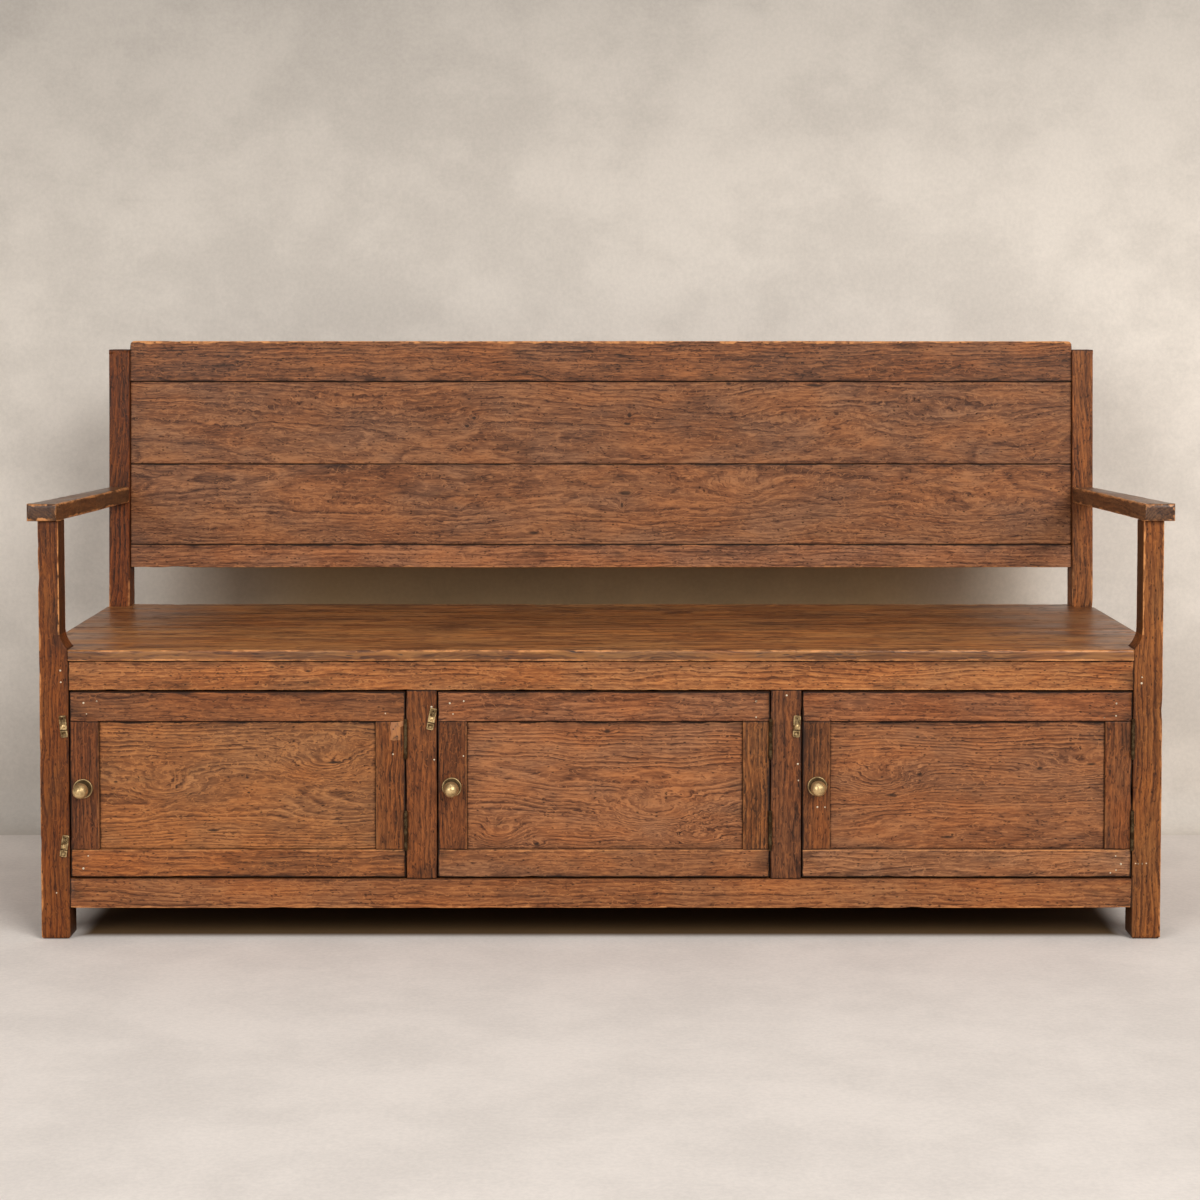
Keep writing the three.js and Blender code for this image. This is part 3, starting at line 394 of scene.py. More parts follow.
def build_arris_group():
    """Where a board is rubbed bare, where it is soiled and painted with shade in its joints and corners, and
    where its side faces are painted with shade: worked out from the distance to its faces.

    Low, High and Ends say what the low edge, the high edge and the ends meet: above 0 a joint with its dark
    line, which from 1 up is widened into painted shadow of a gap or a recess, and below 0 open air, where the
    arris is rubbed. Second Edge is where a narrower part has its edge, from the place along the board that
    Second From says. Lean is how fast the middle of the board moves across and through along its length, and
    how fast its half width grows.
    """
    group, given, result = new_group(
        "Bench Arris",
        [("Vector", "Vector", None), ("Half Size", "Vector", (1, 0.1, 0.02)), ("Seed", "Float", 0),
         ("Low", "Float", 0), ("High", "Float", 0), ("Ends", "Float", 0), ("Second Edge", "Float", 9),
         ("Second From", "Float", 9), ("Lean", "Vector", (0, 0, 0))],
        [("Worn", "Float"), ("Seam", "Float"), ("Grime and Shade", "Float"), ("Shaded Sides", "Float"),
         ("End Grain", "Float")])
    vector, seed = given.outputs["Vector"], given.outputs["Seed"]

    def noisy(shift, frequency, low, high, to_low=0, to_high=1):
        grey = cloud(group, vector, calc(group, "ADD", seed, shift), frequency, 3, 0.6)
        return span(group, grey, low, high, to_low, to_high)

    def joint_of(border):
        return calc(group, "MAXIMUM", border, 0)

    def rub_of(border):
        return calc(group, "MAXIMUM", calc(group, "MULTIPLY", border, -1), 0)

    def near(distance, reach):
        return span(group, calc(group, "DIVIDE", distance, reach), 0.5, 1, 1, 0)

    x, y, _z = split(group, vector)
    across, through, growth = split(group, given.outputs["Lean"])
    moved = merge(group, 0, calc(group, "MULTIPLY", across, x), calc(group, "MULTIPLY", through, x))
    straight = vector_calc(group, "SUBTRACT", vector, moved)
    wider = merge(group, 0, calc(group, "MULTIPLY", growth, x), 0)
    half = vector_calc(group, "ADD", given.outputs["Half Size"], wider)
    dx, dy, dz = split(group, vector_calc(group, "SUBTRACT", half, vector_calc(group, "ABSOLUTE", straight)))
    is_high = calc(group, "GREATER_THAN", split(group, straight)[1], 0)
    low, high, ends = given.outputs["Low"], given.outputs["High"], given.outputs["Ends"]
    side = calc(group, "ADD", low, calc(group, "MULTIPLY", is_high, calc(group, "SUBTRACT", high, low)))
    reach = noisy(0.0, (22, 60, 60), 0.36, 0.7, 0.0009, 0.0048)
    broken = noisy(5.5, (70, 70, 70), 0.36, 0.58, 0.3, 1)

    def rubbed(first, second, rub):
        wide = calc(group, "MULTIPLY", reach, calc(group, "MAXIMUM", rub, 1))
        return calc(group, "MULTIPLY", near(calc(group, "MAXIMUM", first, second), wide), rub, clamp=True)

    inner = calc(group, "ABSOLUTE", calc(group, "SUBTRACT", y, given.outputs["Second Edge"]))
    inner = calc(group, "ADD", inner, calc(group, "LESS_THAN", x, given.outputs["Second From"]))
    worn = calc(group, "MAXIMUM", rubbed(dy, dz, rub_of(side)), rubbed(dx, dz, rub_of(ends)))
    worn = calc(group, "MAXIMUM", worn, rubbed(dx, dy, calc(group, "MINIMUM", rub_of(side), rub_of(ends))))
    worn = calc(group, "MAXIMUM", worn, rubbed(inner, dz, 1.0))
    # Painted shade on a board's side faces, starting a few millimetres back from its face
    shaded_flank = span(group, calc(group, "MINIMUM", dy, inner), 0.0015, 0.003, 1, 0)
    feed(group, result.inputs["Shaded Sides"], calc(group, "MULTIPLY", shaded_flank, span(group, dz, 0.0015, 0.005)))
    open_end = calc(group, "LESS_THAN", ends, 0.001)
    end_grain = calc(group, "MULTIPLY", span(group, dx, 0.0015, 0.003, 1, 0), open_end)
    feed(group, result.inputs["End Grain"], end_grain)
    feed(group, result.inputs["Worn"], calc(group, "MULTIPLY", worn, broken))
    width = noisy(3.3, (26, 60, 60), 0.3, 0.72, 0.0011, 0.0036)

    # Dark joint lines, which from a joint of 1 up widen into painted shadow of the door gaps and the panels'
    # recesses
    def seam_and_shadow_along(distance, joint):
        wide = calc(group, "MULTIPLY", width, calc(group, "MAXIMUM", joint, 1))
        return calc(group, "MULTIPLY", near(distance, wide), joint, clamp=True)

    seam_and_shadow = calc(group, "MAXIMUM", seam_and_shadow_along(dy, joint_of(side)), seam_and_shadow_along(dx, joint_of(ends)))
    on_face = span(group, dz, 0.002, 0.006, 1, 0.12)
    feed(group, result.inputs["Seam"], calc(group, "MULTIPLY", seam_and_shadow, on_face))
    # Soiling with painted shade: darker near the ends and edges that meet a joint, where shade falls in the
    # corners
    tight = calc(group, "POWER", joint_of(ends), 2)
    end_dirt_and_shade = calc(group, "MULTIPLY", span(group, dx, 0, 0.04, 1, 0), tight)
    side_dirt_and_shade = calc(group, "MULTIPLY", span(group, dy, 0, 0.014, 1, 0), joint_of(side), clamp=True)
    dirt_and_shade = calc(group, "MAXIMUM", end_dirt_and_shade, side_dirt_and_shade)
    feed(group, result.inputs["Grime and Shade"], calc(group, "MULTIPLY", dirt_and_shade, noisy(6.1, (17, 42, 42), 0.4, 0.68)))


def build_teak_group():
    """Old oiled teak: figure, fibre, wear, soiling and painted shade brought into a colour, a roughness and a
    height.
    """
    group, given, result = new_group(
        "Bench Teak",
        [("Vector", "Vector", None), ("Half Size", "Vector", (1, 0.1, 0.02)), ("Seed", "Float", 0),
         ("Dark", "Color", (0.1, 0.05, 0.02)), ("Body", "Color", (0.3, 0.15, 0.07)),
         ("Light", "Color", (0.5, 0.3, 0.15)), ("Bare", "Color", (0.6, 0.4, 0.2)),
         ("Dirt and Shade", "Color", (0.02, 0.01, 0.01)), ("Cool", "Color", (0.9, 1, 1.2)),
         ("Warm", "Color", (1.1, 1, 0.8)), ("Spacing", "Float", 0.005), ("Pith", "Vector", (0, 0, -0.05)),
         ("Wander", "Float", 0.02),
         ("Curl", "Float", 0.01), ("Stretch", "Float", 1), ("Lift", "Float", 0), ("Heart", "Float", 0),
         ("Low", "Float", 0), ("High", "Float", 0), ("Ends", "Float", 0), ("Second Edge", "Float", 9),
         ("Second From", "Float", 9), ("Lean", "Vector", (0, 0, 0)), ("Shaded Sides", "Float", 0),
         ("Widen", "Float", 1), ("Smudges", "Float", 1), ("Figure", "Float", 1), ("Streaks", "Float", 0.26)],
        [("Color", "Color"), ("Roughness", "Float"), ("Height", "Float")])
    take = given.outputs

    def using(name, *labels, **more):
        return use_group(group, name, {**{label: take[label] for label in labels}, **more}).outputs

    flow = using("Bench Flow", "Vector", "Seed", "Wander", "Curl", "Lift")["Flow"]
    growth = using("Bench Growth", "Vector", "Seed", "Spacing", "Pith", Flow=flow)
    fibre = using("Bench Fibre", "Vector", "Seed", "Stretch", "Widen", Flow=flow)
    arris = using("Bench Arris", "Vector", "Half Size", "Seed", "Low", "High", "Ends", "Second Edge",
                  "Second From", "Lean")

    def share(value, weight):
        return calc(group, "MULTIPLY", value, weight)

    def weighted(value, weight):
        return share(calc(group, "SUBTRACT", value, 0.5), weight)

    shade = calc(group, "ADD", 0.6, weighted(fibre["Fibre"], 0.42))
    shade = calc(group, "ADD", shade, weighted(fibre["Streak"], take["Streaks"]))
    shade = calc(group, "ADD", shade, weighted(fibre["Tone"], 0.22))
    shade = calc(group, "ADD", shade, share(weighted(growth["Bands"], 0.3), take["Figure"]))
    lines = share(growth["Lines"], take["Figure"])
    shade = calc(group, "SUBTRACT", shade, share(lines, 0.42))
    shade = calc(group, "ADD", shade, share(share(growth["Gleams"], take["Figure"]), 0.3))
    shade = calc(group, "SUBTRACT", shade, share(share(fibre["Pits"], take["Smudges"]), 0.28))
    shade = calc(group, "SUBTRACT", shade, share(fibre["Cracks"], 0.34))
    shade = calc(group, "ADD", shade, share(fibre["Flecks"], 0.3))
    dark_half = calc(group, "MULTIPLY", shade, 2, clamp=True)
    light_half = calc(group, "SUBTRACT", calc(group, "MULTIPLY", shade, 2), 1, clamp=True)
    colour = blend(group, light_half, blend(group, dark_half, take["Dark"], take["Body"]), take["Light"])
    cool = span(group, fibre["Hue"], 0, 0.5, 1, 0)
    warm = span(group, fibre["Hue"], 0.5, 1)
    colour = blend(group, cool, colour, take["Cool"], "MULTIPLY")
    colour = blend(group, warm, colour, take["Warm"], "MULTIPLY")
    colour = blend(group, share(fibre["Hair"], 0.6), colour, take["Light"])
    colour = blend(group, share(share(fibre["Smudge"], take["Smudges"]), 0.42), colour, take["Dirt and Shade"])
    # Painted shade with soiling in the joints and corners, then painted shade on the side faces
    colour = blend(group, share(arris["Grime and Shade"], 0.62), colour, take["Dirt and Shade"])
    colour = blend(group, share(arris["End Grain"], 0.5), colour, take["Dirt and Shade"])
    colour = blend(group, share(arris["Shaded Sides"], take["Shaded Sides"]), colour, take["Dirt and Shade"])
    colour = blend(group, share(arris["Worn"], 0.8), colour, take["Bare"])
    colour = blend(group, share(fibre["Pores"], 0.75), colour, take["Dirt and Shade"])
    colour = blend(group, share(take["Heart"], 0.85), colour, take["Dirt and Shade"])
    # Dark joint lines, widened into painted shadow at the door gaps and the panels' recesses
    colour = blend(group, share(arris["Seam"], 0.94), colour, take["Dirt and Shade"])
    feed(group, result.inputs["Color"], colour)
    rough = calc(group, "ADD", 0.5, weighted(fibre["Tone"], 0.14))
    rough = calc(group, "ADD", rough, share(arris["Seam"], 0.35))
    rough = calc(group, "ADD", rough, share(fibre["Pores"], 0.3))
    feed(group, result.inputs["Roughness"], rough)
    height = calc(group, "ADD", share(fibre["Fibre"], 0.5), share(fibre["Flecks"], 0.4))
    height = calc(group, "SUBTRACT", height, share(fibre["Pores"], 1.2))
    height = calc(group, "SUBTRACT", height, share(fibre["Pits"], 0.8))
    height = calc(group, "SUBTRACT", height, share(lines, 0.4))
    height = calc(group, "SUBTRACT", height, share(arris["Seam"], 2))
    feed(group, result.inputs["Height"], height)


def build_brass_group():
    """Old brass: bright where it is handled, brown in its pits and round its foot."""
    group, given, result = new_group(
        "Bench Brass",
        [("Vector", "Vector", None), ("Bright", "Color", (0.6, 0.5, 0.3)),
         ("Tarnish", "Color", (0.1, 0.07, 0.03)), ("Seed", "Float", 0), ("Brownness", "Float", 0.4),
         ("Recess", "Float", 0)],
        [("Color", "Color"), ("Roughness", "Float"), ("Height", "Float")])
    vector, seed = given.outputs["Vector"], given.outputs["Seed"]
    patches = cloud(group, vector, seed, (90, 90, 90), 4, 0.6)
    pits = cloud(group, vector, calc(group, "ADD", seed, 5.0), (620, 620, 620), 3, 0.6)
    brown = calc(group, "ADD", span(group, patches, 0.35, 0.7, 0, 0.7), span(group, pits, 0.5, 0.75, 0, 0.5))
    brown = calc(group, "MULTIPLY", brown, calc(group, "MULTIPLY", given.outputs["Brownness"], 2), clamp=True)
    colour = blend(group, brown, given.outputs["Bright"], given.outputs["Tarnish"])
    dark = vector_calc(group, "MULTIPLY", given.outputs["Tarnish"], (0.3, 0.3, 0.3))
    feed(group, result.inputs["Color"], blend(group, calc(group, "MULTIPLY", given.outputs["Recess"], 0.9),
                                              colour, dark))
    feed(group, result.inputs["Roughness"], calc(group, "ADD", span(group, brown, 0, 1, 0.34, 0.55),
                                                 calc(group, "MULTIPLY", given.outputs["Recess"], 0.25)))
    feed(group, result.inputs["Height"], calc(group, "MULTIPLY", pits, -1))


def new_material(name):
    material = bpy.data.materials.new(name)
    material.use_nodes = True
    tree = material.node_tree
    tree.nodes.clear()
    shader = tree.nodes.new("ShaderNodeBsdfPrincipled")
    output = tree.nodes.new("ShaderNodeOutputMaterial")
    tree.links.new(shader.outputs[0], output.inputs["Surface"])
    return material, tree, shader


def board_vector(tree, turn, centre):
    """Object coordinates turned to lie along a board and centred on it."""
    coordinates = tree.nodes.new("ShaderNodeTexCoord")
    mapping = add_node(tree, "ShaderNodeMapping", {"Vector": coordinates.outputs["Object"]})
    mapping.inputs["Rotation"].default_value = turn.to_euler("XYZ")
    mapping.inputs["Location"].default_value = -centre
    return mapping.outputs[0]


# How the colours of each board differ from those of its kind
TINTS = {
    "back_top_rail": (0.8, 0.81, 0.77),
    "back_upper_board": (0.66, 0.69, 0.75),
    "back_lower_board": (0.72, 0.74, 0.78),
    "back_bottom_rail": (0.84, 0.84, 0.9),
    "rear_post_left": (0.5, 0.32, 0.12),
    "rear_post_right": (0.82, 0.71, 0.45),
    "seat_rear_board": (0.52, 0.48, 0.36),
    "seat_front_board": (0.7, 0.68, 0.52),
    "front_top_rail": (0.74, 0.71, 0.65),
    "front_bottom_rail": (0.64, 0.59, 0.55),
    "front_post_left": (0.46, 0.32, 0.14),
    "front_post_right": (0.58, 0.49, 0.3),
    "arm_left": (0.395, 0.39, 0.31),
    "arm_right": (0.53, 0.56, 0.56),
    "door_left_panel": (0.83, 0.81, 0.68),
    "door_middle_panel": (0.79, 0.77, 0.76),
    "door_right_panel": (0.76, 0.73, 0.7),
    "door_left_top_rail": (0.63, 0.57, 0.5),
    "door_left_bottom_rail": (0.82, 0.72, 0.55),
    "door_left_latch_stile": (0.57, 0.44, 0.28),
    "door_left_hinge_stile": (0.7, 0.6, 0.37),
    "door_middle_top_rail": (0.74, 0.7, 0.7),
    "door_middle_bottom_rail": (0.76, 0.75, 0.73),
    "door_middle_latch_stile": (0.69, 0.56, 0.36),
    "door_middle_hinge_stile": (0.82, 0.75, 0.5),
    "door_right_top_rail": (0.72, 0.65, 0.62),
    "door_right_bottom_rail": (0.81, 0.86, 0.92),
    "door_right_latch_stile": (0.72, 0.61, 0.4),
    "door_right_hinge_stile": (0.7, 0.6, 0.42),
    "muntin_left": (0.79, 0.62, 0.36),
    "muntin_right": (0.67, 0.58, 0.44),
    "end_top_rail_left": (0.62, 0.52, 0.38),
    "end_top_rail_right": (0.62, 0.52, 0.38),
    "end_bottom_rail_left": (0.62, 0.52, 0.38),
    "end_bottom_rail_right": (0.62, 0.52, 0.38),
    "end_panel_left": (0.7, 0.64, 0.52),
    "end_panel_right": (0.7, 0.64, 0.52),
}


class Board:
    """One piece of wood: how it lies, what shows of it, what its edges meet, and its figure.

    ends and edges are the visible limits along its length and its width. borders tells what its low edge, its
    high edge and its ends meet: 1 a dark joint, 2 a wide one, whose dark line is widened into painted shadow
    of a gap or a recess, 0 nothing, -1 open air, where the arris is rubbed bare; any joint is also soiled and
    painted with shade beside it. eyes are (x, z or y, half length, half width, rings pushed aside, heart).
    matt adds to its roughness, sides tells how much painted shade darkens its side faces, second is the edge
    of a narrower part and the place where that starts, and ease tells how many times the usual round its
    arrises have.
    """

    def __init__(self, node, turn, wood, ends=None, edges=None, borders=(0, 0, 0), spacing=4.5, pith=(0, -60),
                 wander=26, curl=7, stretch=1, widen=1, eyes=(), smudges=1.0, figure=1.0, streaks=0.26,
                 shine=0.22, matt=0, sides=0, second=None, ease=1):
        self.node, self.turn, self.wood = node, turn, wood
        self.borders, self.spacing, self.pith, self.wander, self.curl = borders, spacing, pith, wander, curl
        self.eyes, self.stretch, self.smudges, self.figure = eyes, stretch, smudges, figure
        self.streaks, self.tint = streaks, TINTS.get(node, (1, 1, 1))
        self.shine, self.matt, self.widen, self.sides, self.ease = shine, matt, widen, sides, ease
        mesh = frame["nodes"][node].data
        places = np.array([turn @ v.co for v in mesh.vertices])
        low, high = Vector(places.min(0)), Vector(places.max(0))
        self.reach = (low.x, high.x)
        if ends:
            low.x, high.x = ends
        if edges:
            low.y, high.y = edges
        self.centre, self.half = (low + high) / 2, (high - low) / 2
        self.lean = (0, 0, 0)
        self.second = (second[0] - self.centre.y, second[1] - self.centre.x) if second else (9, 9)
        self.body = frame["nodes"][node]["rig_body"]

    @property
    def seed(self):
        """A number of its own for each piece, worked out from its name."""
        return sum((i + 1) * ord(letter) for i, letter in enumerate(self.node)) % 977 / 7


def teak_material(board):
    """The finish of one board, with its own figure."""
    wood = bpy.context.scene.bench_wood
    material, tree, shader = new_material(board.node + "_finish")
    vector = board_vector(tree, board.turn, board.centre)
    lift, heart = 0.0, 0.0
    for x, across, half_length, half_width, rings, heart_size in board.eyes:
        place = Vector((x * MM, across * MM, 0)) - board.centre
        eye = use_group(tree, "Bench Eye", {
            "Vector": vector, "Centre": (place.x, place.y, 0),
            "Reach": (half_length * MM, half_width * MM, 1),
            "Push": rings * board.spacing * MM, "Heart Size": max(heart_size, 0.0001)})
        lift = calc(tree, "ADD", eye.outputs["Lift"], lift)
        if heart_size:
            heart = calc(tree, "MAXIMUM", eye.outputs["Heart"], heart)
    colours = {"Dark": "dark", "Body": "mid", "Light": "light"}
    finish = use_group(tree, "Bench Teak", {
        "Vector": vector, "Half Size": board.half, "Seed": board.seed,
        **{label: [c * t for c, t in zip(getattr(wood, f"{board.wood}_{part}"), board.tint)]
           for label, part in colours.items()},
        "Bare": wood.worn, "Dirt and Shade": wood.grime_and_shade, "Cool": tuple(wood.cool), "Warm": tuple(wood.warm),
        "Spacing": board.spacing * MM, "Pith": (0, board.pith[0] * MM, board.pith[1] * MM),
        "Wander": board.wander * MM, "Curl": board.curl * MM, "Stretch": board.stretch,
        "Lift": lift, "Heart": heart, "Low": board.borders[0], "High": board.borders[1],
        "Ends": board.borders[2], "Lean": board.lean, "Second Edge": board.second[0],
        "Second From": board.second[1], "Shaded Sides": board.sides, "Widen": board.widen,
        "Smudges": board.smudges, "Figure": board.figure, "Streaks": board.streaks})
    feed(tree, shader.inputs["Base Color"], finish.outputs["Color"])
    feed(tree, shader.inputs["Roughness"], calc(tree, "ADD", finish.outputs["Roughness"], board.matt))
    shader.inputs["Specular IOR Level"].default_value = board.shine
    bump = add_node(tree, "ShaderNodeBump", {"Height": finish.outputs["Height"], "Strength": 0.5,
                                             "Distance": 0.35 * MM})
    feed(tree, shader.inputs["Normal"], bump.outputs[0])
    return material


def brass_material(name, seed, brownness, dark=0.0):
    metal = bpy.context.scene.bench_brass
    material, tree, shader = new_material(name)
    vector = board_vector(tree, FLAT_ACROSS, Vector())
    recess = add_node(tree, "ShaderNodeAttribute", attribute_name="recess").outputs["Fac"]
    # dark is the least recess anywhere: the buttons' darker bronze, and on the hinges painted shade of the
    # door gaps as well as tarnish
    recess = calc(tree, "MAXIMUM", recess, dark)
    finish = use_group(tree, "Bench Brass", {
        "Vector": vector, "Bright": metal.bright, "Tarnish": metal.tarnish, "Seed": seed,
        "Brownness": brownness, "Recess": recess})
    feed(tree, shader.inputs["Base Color"], finish.outputs["Color"])
    feed(tree, shader.inputs["Roughness"], finish.outputs["Roughness"])
    shader.inputs["Metallic"].default_value = 0.8
    bump = add_node(tree, "ShaderNodeBump", {"Height": finish.outputs["Height"], "Strength": 0.35,
                                             "Distance": 0.15 * MM})
    feed(tree, shader.inputs["Normal"], bump.outputs[0])
    return material


def nail_material():
    metal = bpy.context.scene.bench_brass
    material, tree, shader = new_material("nail_metal")
    vector = board_vector(tree, FLAT_ACROSS, Vector())
    stain = span(tree, cloud(tree, vector, 1.0, (140, 140, 140), 2), 0.45, 0.7)
    feed(tree, shader.inputs["Base Color"], blend(tree, stain, metal.steel, metal.tarnish))
    feed(tree, shader.inputs["Roughness"], span(tree, stain, 0, 1, 0.35, 0.6))
    shader.inputs["Metallic"].default_value = 0.2
    return material


# Meshes

WELD = 0.005 * MM
SLIVER = 2 * MM
FLAT_ANGLE = math.radians(0.6)
SHARP_ANGLE = math.radians(35)
SMOOTH_ANGLE = math.radians(42)
ROUND_SEGMENTS = 3
FOLD_AREA = 1e-9
FOLD_ATTEMPTS = 4

# The share of a face that a round may take, the usual size of a round, and how far and how often it varies
ROUND_SHARE = 0.42
WEAR_USUAL = 0.72
WEAR_SPREAD = 0.5
WEAR_FREQUENCY = 24

# How often a surface wanders in a metre, over a hand and over a finger, and how often it is knocked
DRIFT_SLOW = 4.5
DRIFT_FAST = 38
KNOCK_FREQUENCY = 31
KNOCK_FROM = 0.28


def show(name, mesh, body, replaces=()):
    """Puts a finished mesh in the scene as a piece that rides on a body."""
    piece = bpy.data.objects.new(name, mesh)
    bpy.context.scene.collection.objects.link(piece)
    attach(piece, body)
    if replaces:
        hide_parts(*replaces)
    return piece


def merged_copy(node):
    """A node's mesh with its loose triangles joined into clean faces."""
    mesh = bmesh.new()
    mesh.from_mesh(frame["nodes"][node].data)
    bmesh.ops.remove_doubles(mesh, verts=mesh.verts, dist=WELD)
    bmesh.ops.dissolve_limit(mesh, angle_limit=FLAT_ANGLE, verts=mesh.verts, edges=mesh.edges)
    return mesh


def cut_loops(mesh, direction, reach, gap):
    """Cuts a mesh square to a direction at even steps, but not where that leaves a sliver beside a corner."""
    corners = [vertex.co.dot(direction) for vertex in mesh.verts]
    count = max(1, round((reach[1] - reach[0]) / gap))
    for i in range(1, count):
        along = reach[0] + (reach[1] - reach[0]) * i / count
        if any(WELD < abs(along - corner) < SLIVER for corner in corners):
            continue
        bmesh.ops.bisect_plane(mesh, geom=mesh.verts[:] + mesh.edges[:] + mesh.faces[:], dist=WELD,
                               plane_co=direction * along, plane_no=direction)


def room_beside(edge, face):
    """How wide a face is beside one of its edges."""
    start, end = edge.verts[0].co, edge.verts[1].co
    along = (end - start).normalized()
    widest = max(((v.co - start) - along * (v.co - start).dot(along)).length for v in face.verts)
    sides = [e for v in edge.verts for e in v.link_edges
             if e is not edge and e in face.edges
             and abs((e.verts[1].co - e.verts[0].co).normalized().dot(along)) < 0.9]
    return min([widest] + [e.calc_length() for e in sides])


def weigh_arrises(mesh, width):
    """Gives each outward edge the share of the full round that its faces have room for."""
    weights = mesh.edges.layers.float.new("bevel_weight_edge")
    for edge in mesh.edges:
        if len(edge.link_faces) != 2 or not edge.is_convex or edge.calc_face_angle(0) < SHARP_ANGLE:
            continue
        room = min(room_beside(edge, face) for face in edge.link_faces) * ROUND_SHARE
        middle = (edge.verts[0].co + edge.verts[1].co) / 2
        wear = WEAR_USUAL + WEAR_SPREAD * noise.noise(middle * WEAR_FREQUENCY)
        edge[weights] = max(0, min(1, room / width, wear))


def evaluated(piece):
    """The mesh that a piece's modifiers make."""
    bpy.context.view_layer.update()
    return bpy.data.meshes.new_from_object(piece.evaluated_get(bpy.context.evaluated_depsgraph_get()))


def bevelled(name, mesh, width, segments):
    """A mesh with its weighed edges rounded by a modifier."""
    data = bpy.data.meshes.new(name)
    mesh.to_mesh(data)
    helper = bpy.data.objects.new(name + "_helper", data)
    bpy.context.scene.collection.objects.link(helper)
    bevel = helper.modifiers.new("Round", "BEVEL")
    bevel.limit_method = "WEIGHT"
    bevel.width = width
    bevel.segments = segments
    bevel.use_clamp_overlap = False
    result = evaluated(helper)
    result.name = name
    bpy.data.objects.remove(helper)
    return result


def folded_spots(data):
    """The places where part of a face is turned over."""
    data.calc_loop_triangles()
    return [
        triangle.center for triangle in data.loop_triangles
        if triangle.area > FOLD_AREA and triangle.normal.dot(data.polygons[triangle.polygon_index].normal) < 0
    ]


def rounded(name, mesh, width, segments=ROUND_SEGMENTS):
    """Rounds the weighed edges of a mesh, and leaves them sharp where a round would fold a face over."""
    weights = mesh.edges.layers.float["bevel_weight_edge"]
    for _attempt in range(FOLD_ATTEMPTS):
        result = bevelled(name, mesh, width, segments)
        spots = folded_spots(result)
        if not spots:
            break
        tree = KDTree(len(spots))
        for i, spot in enumerate(spots):
            tree.insert(spot, i)
        tree.balance()
        for edge in mesh.edges:
            middle = (edge.verts[0].co + edge.verts[1].co) / 2
            if edge[weights] and tree.find(middle)[2] < edge.calc_length() / 2 + 3 * width:
                edge[weights] = 0
    mesh.free()
    return result


def drift(place):
    """How far hand tools and years have moved a point. Every piece shares this field, so joints stay shut."""
    wood = bpy.context.scene.bench_wood
    slow, fast = noise.noise_vector(place * DRIFT_SLOW), noise.noise_vector(place * DRIFT_FAST)
    return slow * wood.unevenness + fast * wood.roughcut


def wear_down(mesh, board):
    """Moves the points a little, and knocks the long edges."""
    wood = bpy.context.scene.bench_wood
    half, centre, turn = board.half, board.centre, board.turn
    back = turn.transposed()
    for vertex in mesh.vertices:
        place = vertex.co.copy()
        moved = drift(place)
        local = turn @ place - centre
        room = sorted((half.x - abs(local.x), half.y - abs(local.y), half.z - abs(local.z)))
        if room[1] < wood.arris * 1.1:
            knock = max(0.0, noise.noise(place * KNOCK_FREQUENCY) - KNOCK_FROM) * wood.chip * 2
            inward = Vector((0, -math.copysign(1, local.y), -math.copysign(1, local.z)))
            moved += back @ inward * knock
        vertex.co = place + moved


def finish_surface(mesh):
    """Smooth over the rounds and crisp at the corners."""
    mesh.polygons.foreach_set("use_smooth", np.ones(len(mesh.polygons), bool))
    mesh.set_sharp_from_angle(angle=SMOOTH_ANGLE)
    mesh.update()


def steady_normals(piece):
    """Lets the large faces stay flat beside their rounds."""
    modifier = piece.modifiers.new("Steady", "WEIGHTED_NORMAL")
    modifier.keep_sharp = True


def make_board(board):
    """One finished board from its node."""
    wood = bpy.context.scene.bench_wood
    mesh = merged_copy(board.node)
    cut_loops(mesh, Vector(board.turn[0]), board.reach, wood.loop_gap)
    weigh_arrises(mesh, wood.arris * board.ease)
    data = rounded(board.node + "_wood", mesh, wood.arris * board.ease)
    wear_down(data, board)
    finish_surface(data)
    data.materials.append(teak_material(board))
    piece = show(board.node + "_wood", data, board.body, [board.node])
    steady_normals(piece)
    return piece


def mark_recess(data, shares):
    """Keeps how deep each point of a metal piece lies, so that its finish can be dark there."""
    data.attributes.new("recess", "FLOAT", "POINT").data.foreach_set("value", shares)


def make_fitting(node, material, width, sunk=0):
    """A small metal piece from its node, with its edges eased, and dark from a depth of sunk."""
    mesh = merged_copy(node)
    weigh_arrises(mesh, width)
    data = rounded(node + "_metal", mesh, width, 2)
    front = min(v.co.y for v in data.vertices)
    if sunk:
        mark_recess(data, [min(1.0, max(0.0, (v.co.y - front - SUNK_FROM) / sunk)) for v in data.vertices])
    finish_surface(data)
    data.materials.append(material)
    piece = show(node + "_metal", data, frame["nodes"][node]["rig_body"], [node])
    steady_normals(piece)
    return piece


def place_on(turn, x, y, z):
    """A point of the bench, in millimetres, in the axes of a board."""
    return turn @ (Vector((x, y, z)) * MM)


STAND_FOOT = 0.5
STAND_TOP = 0.6


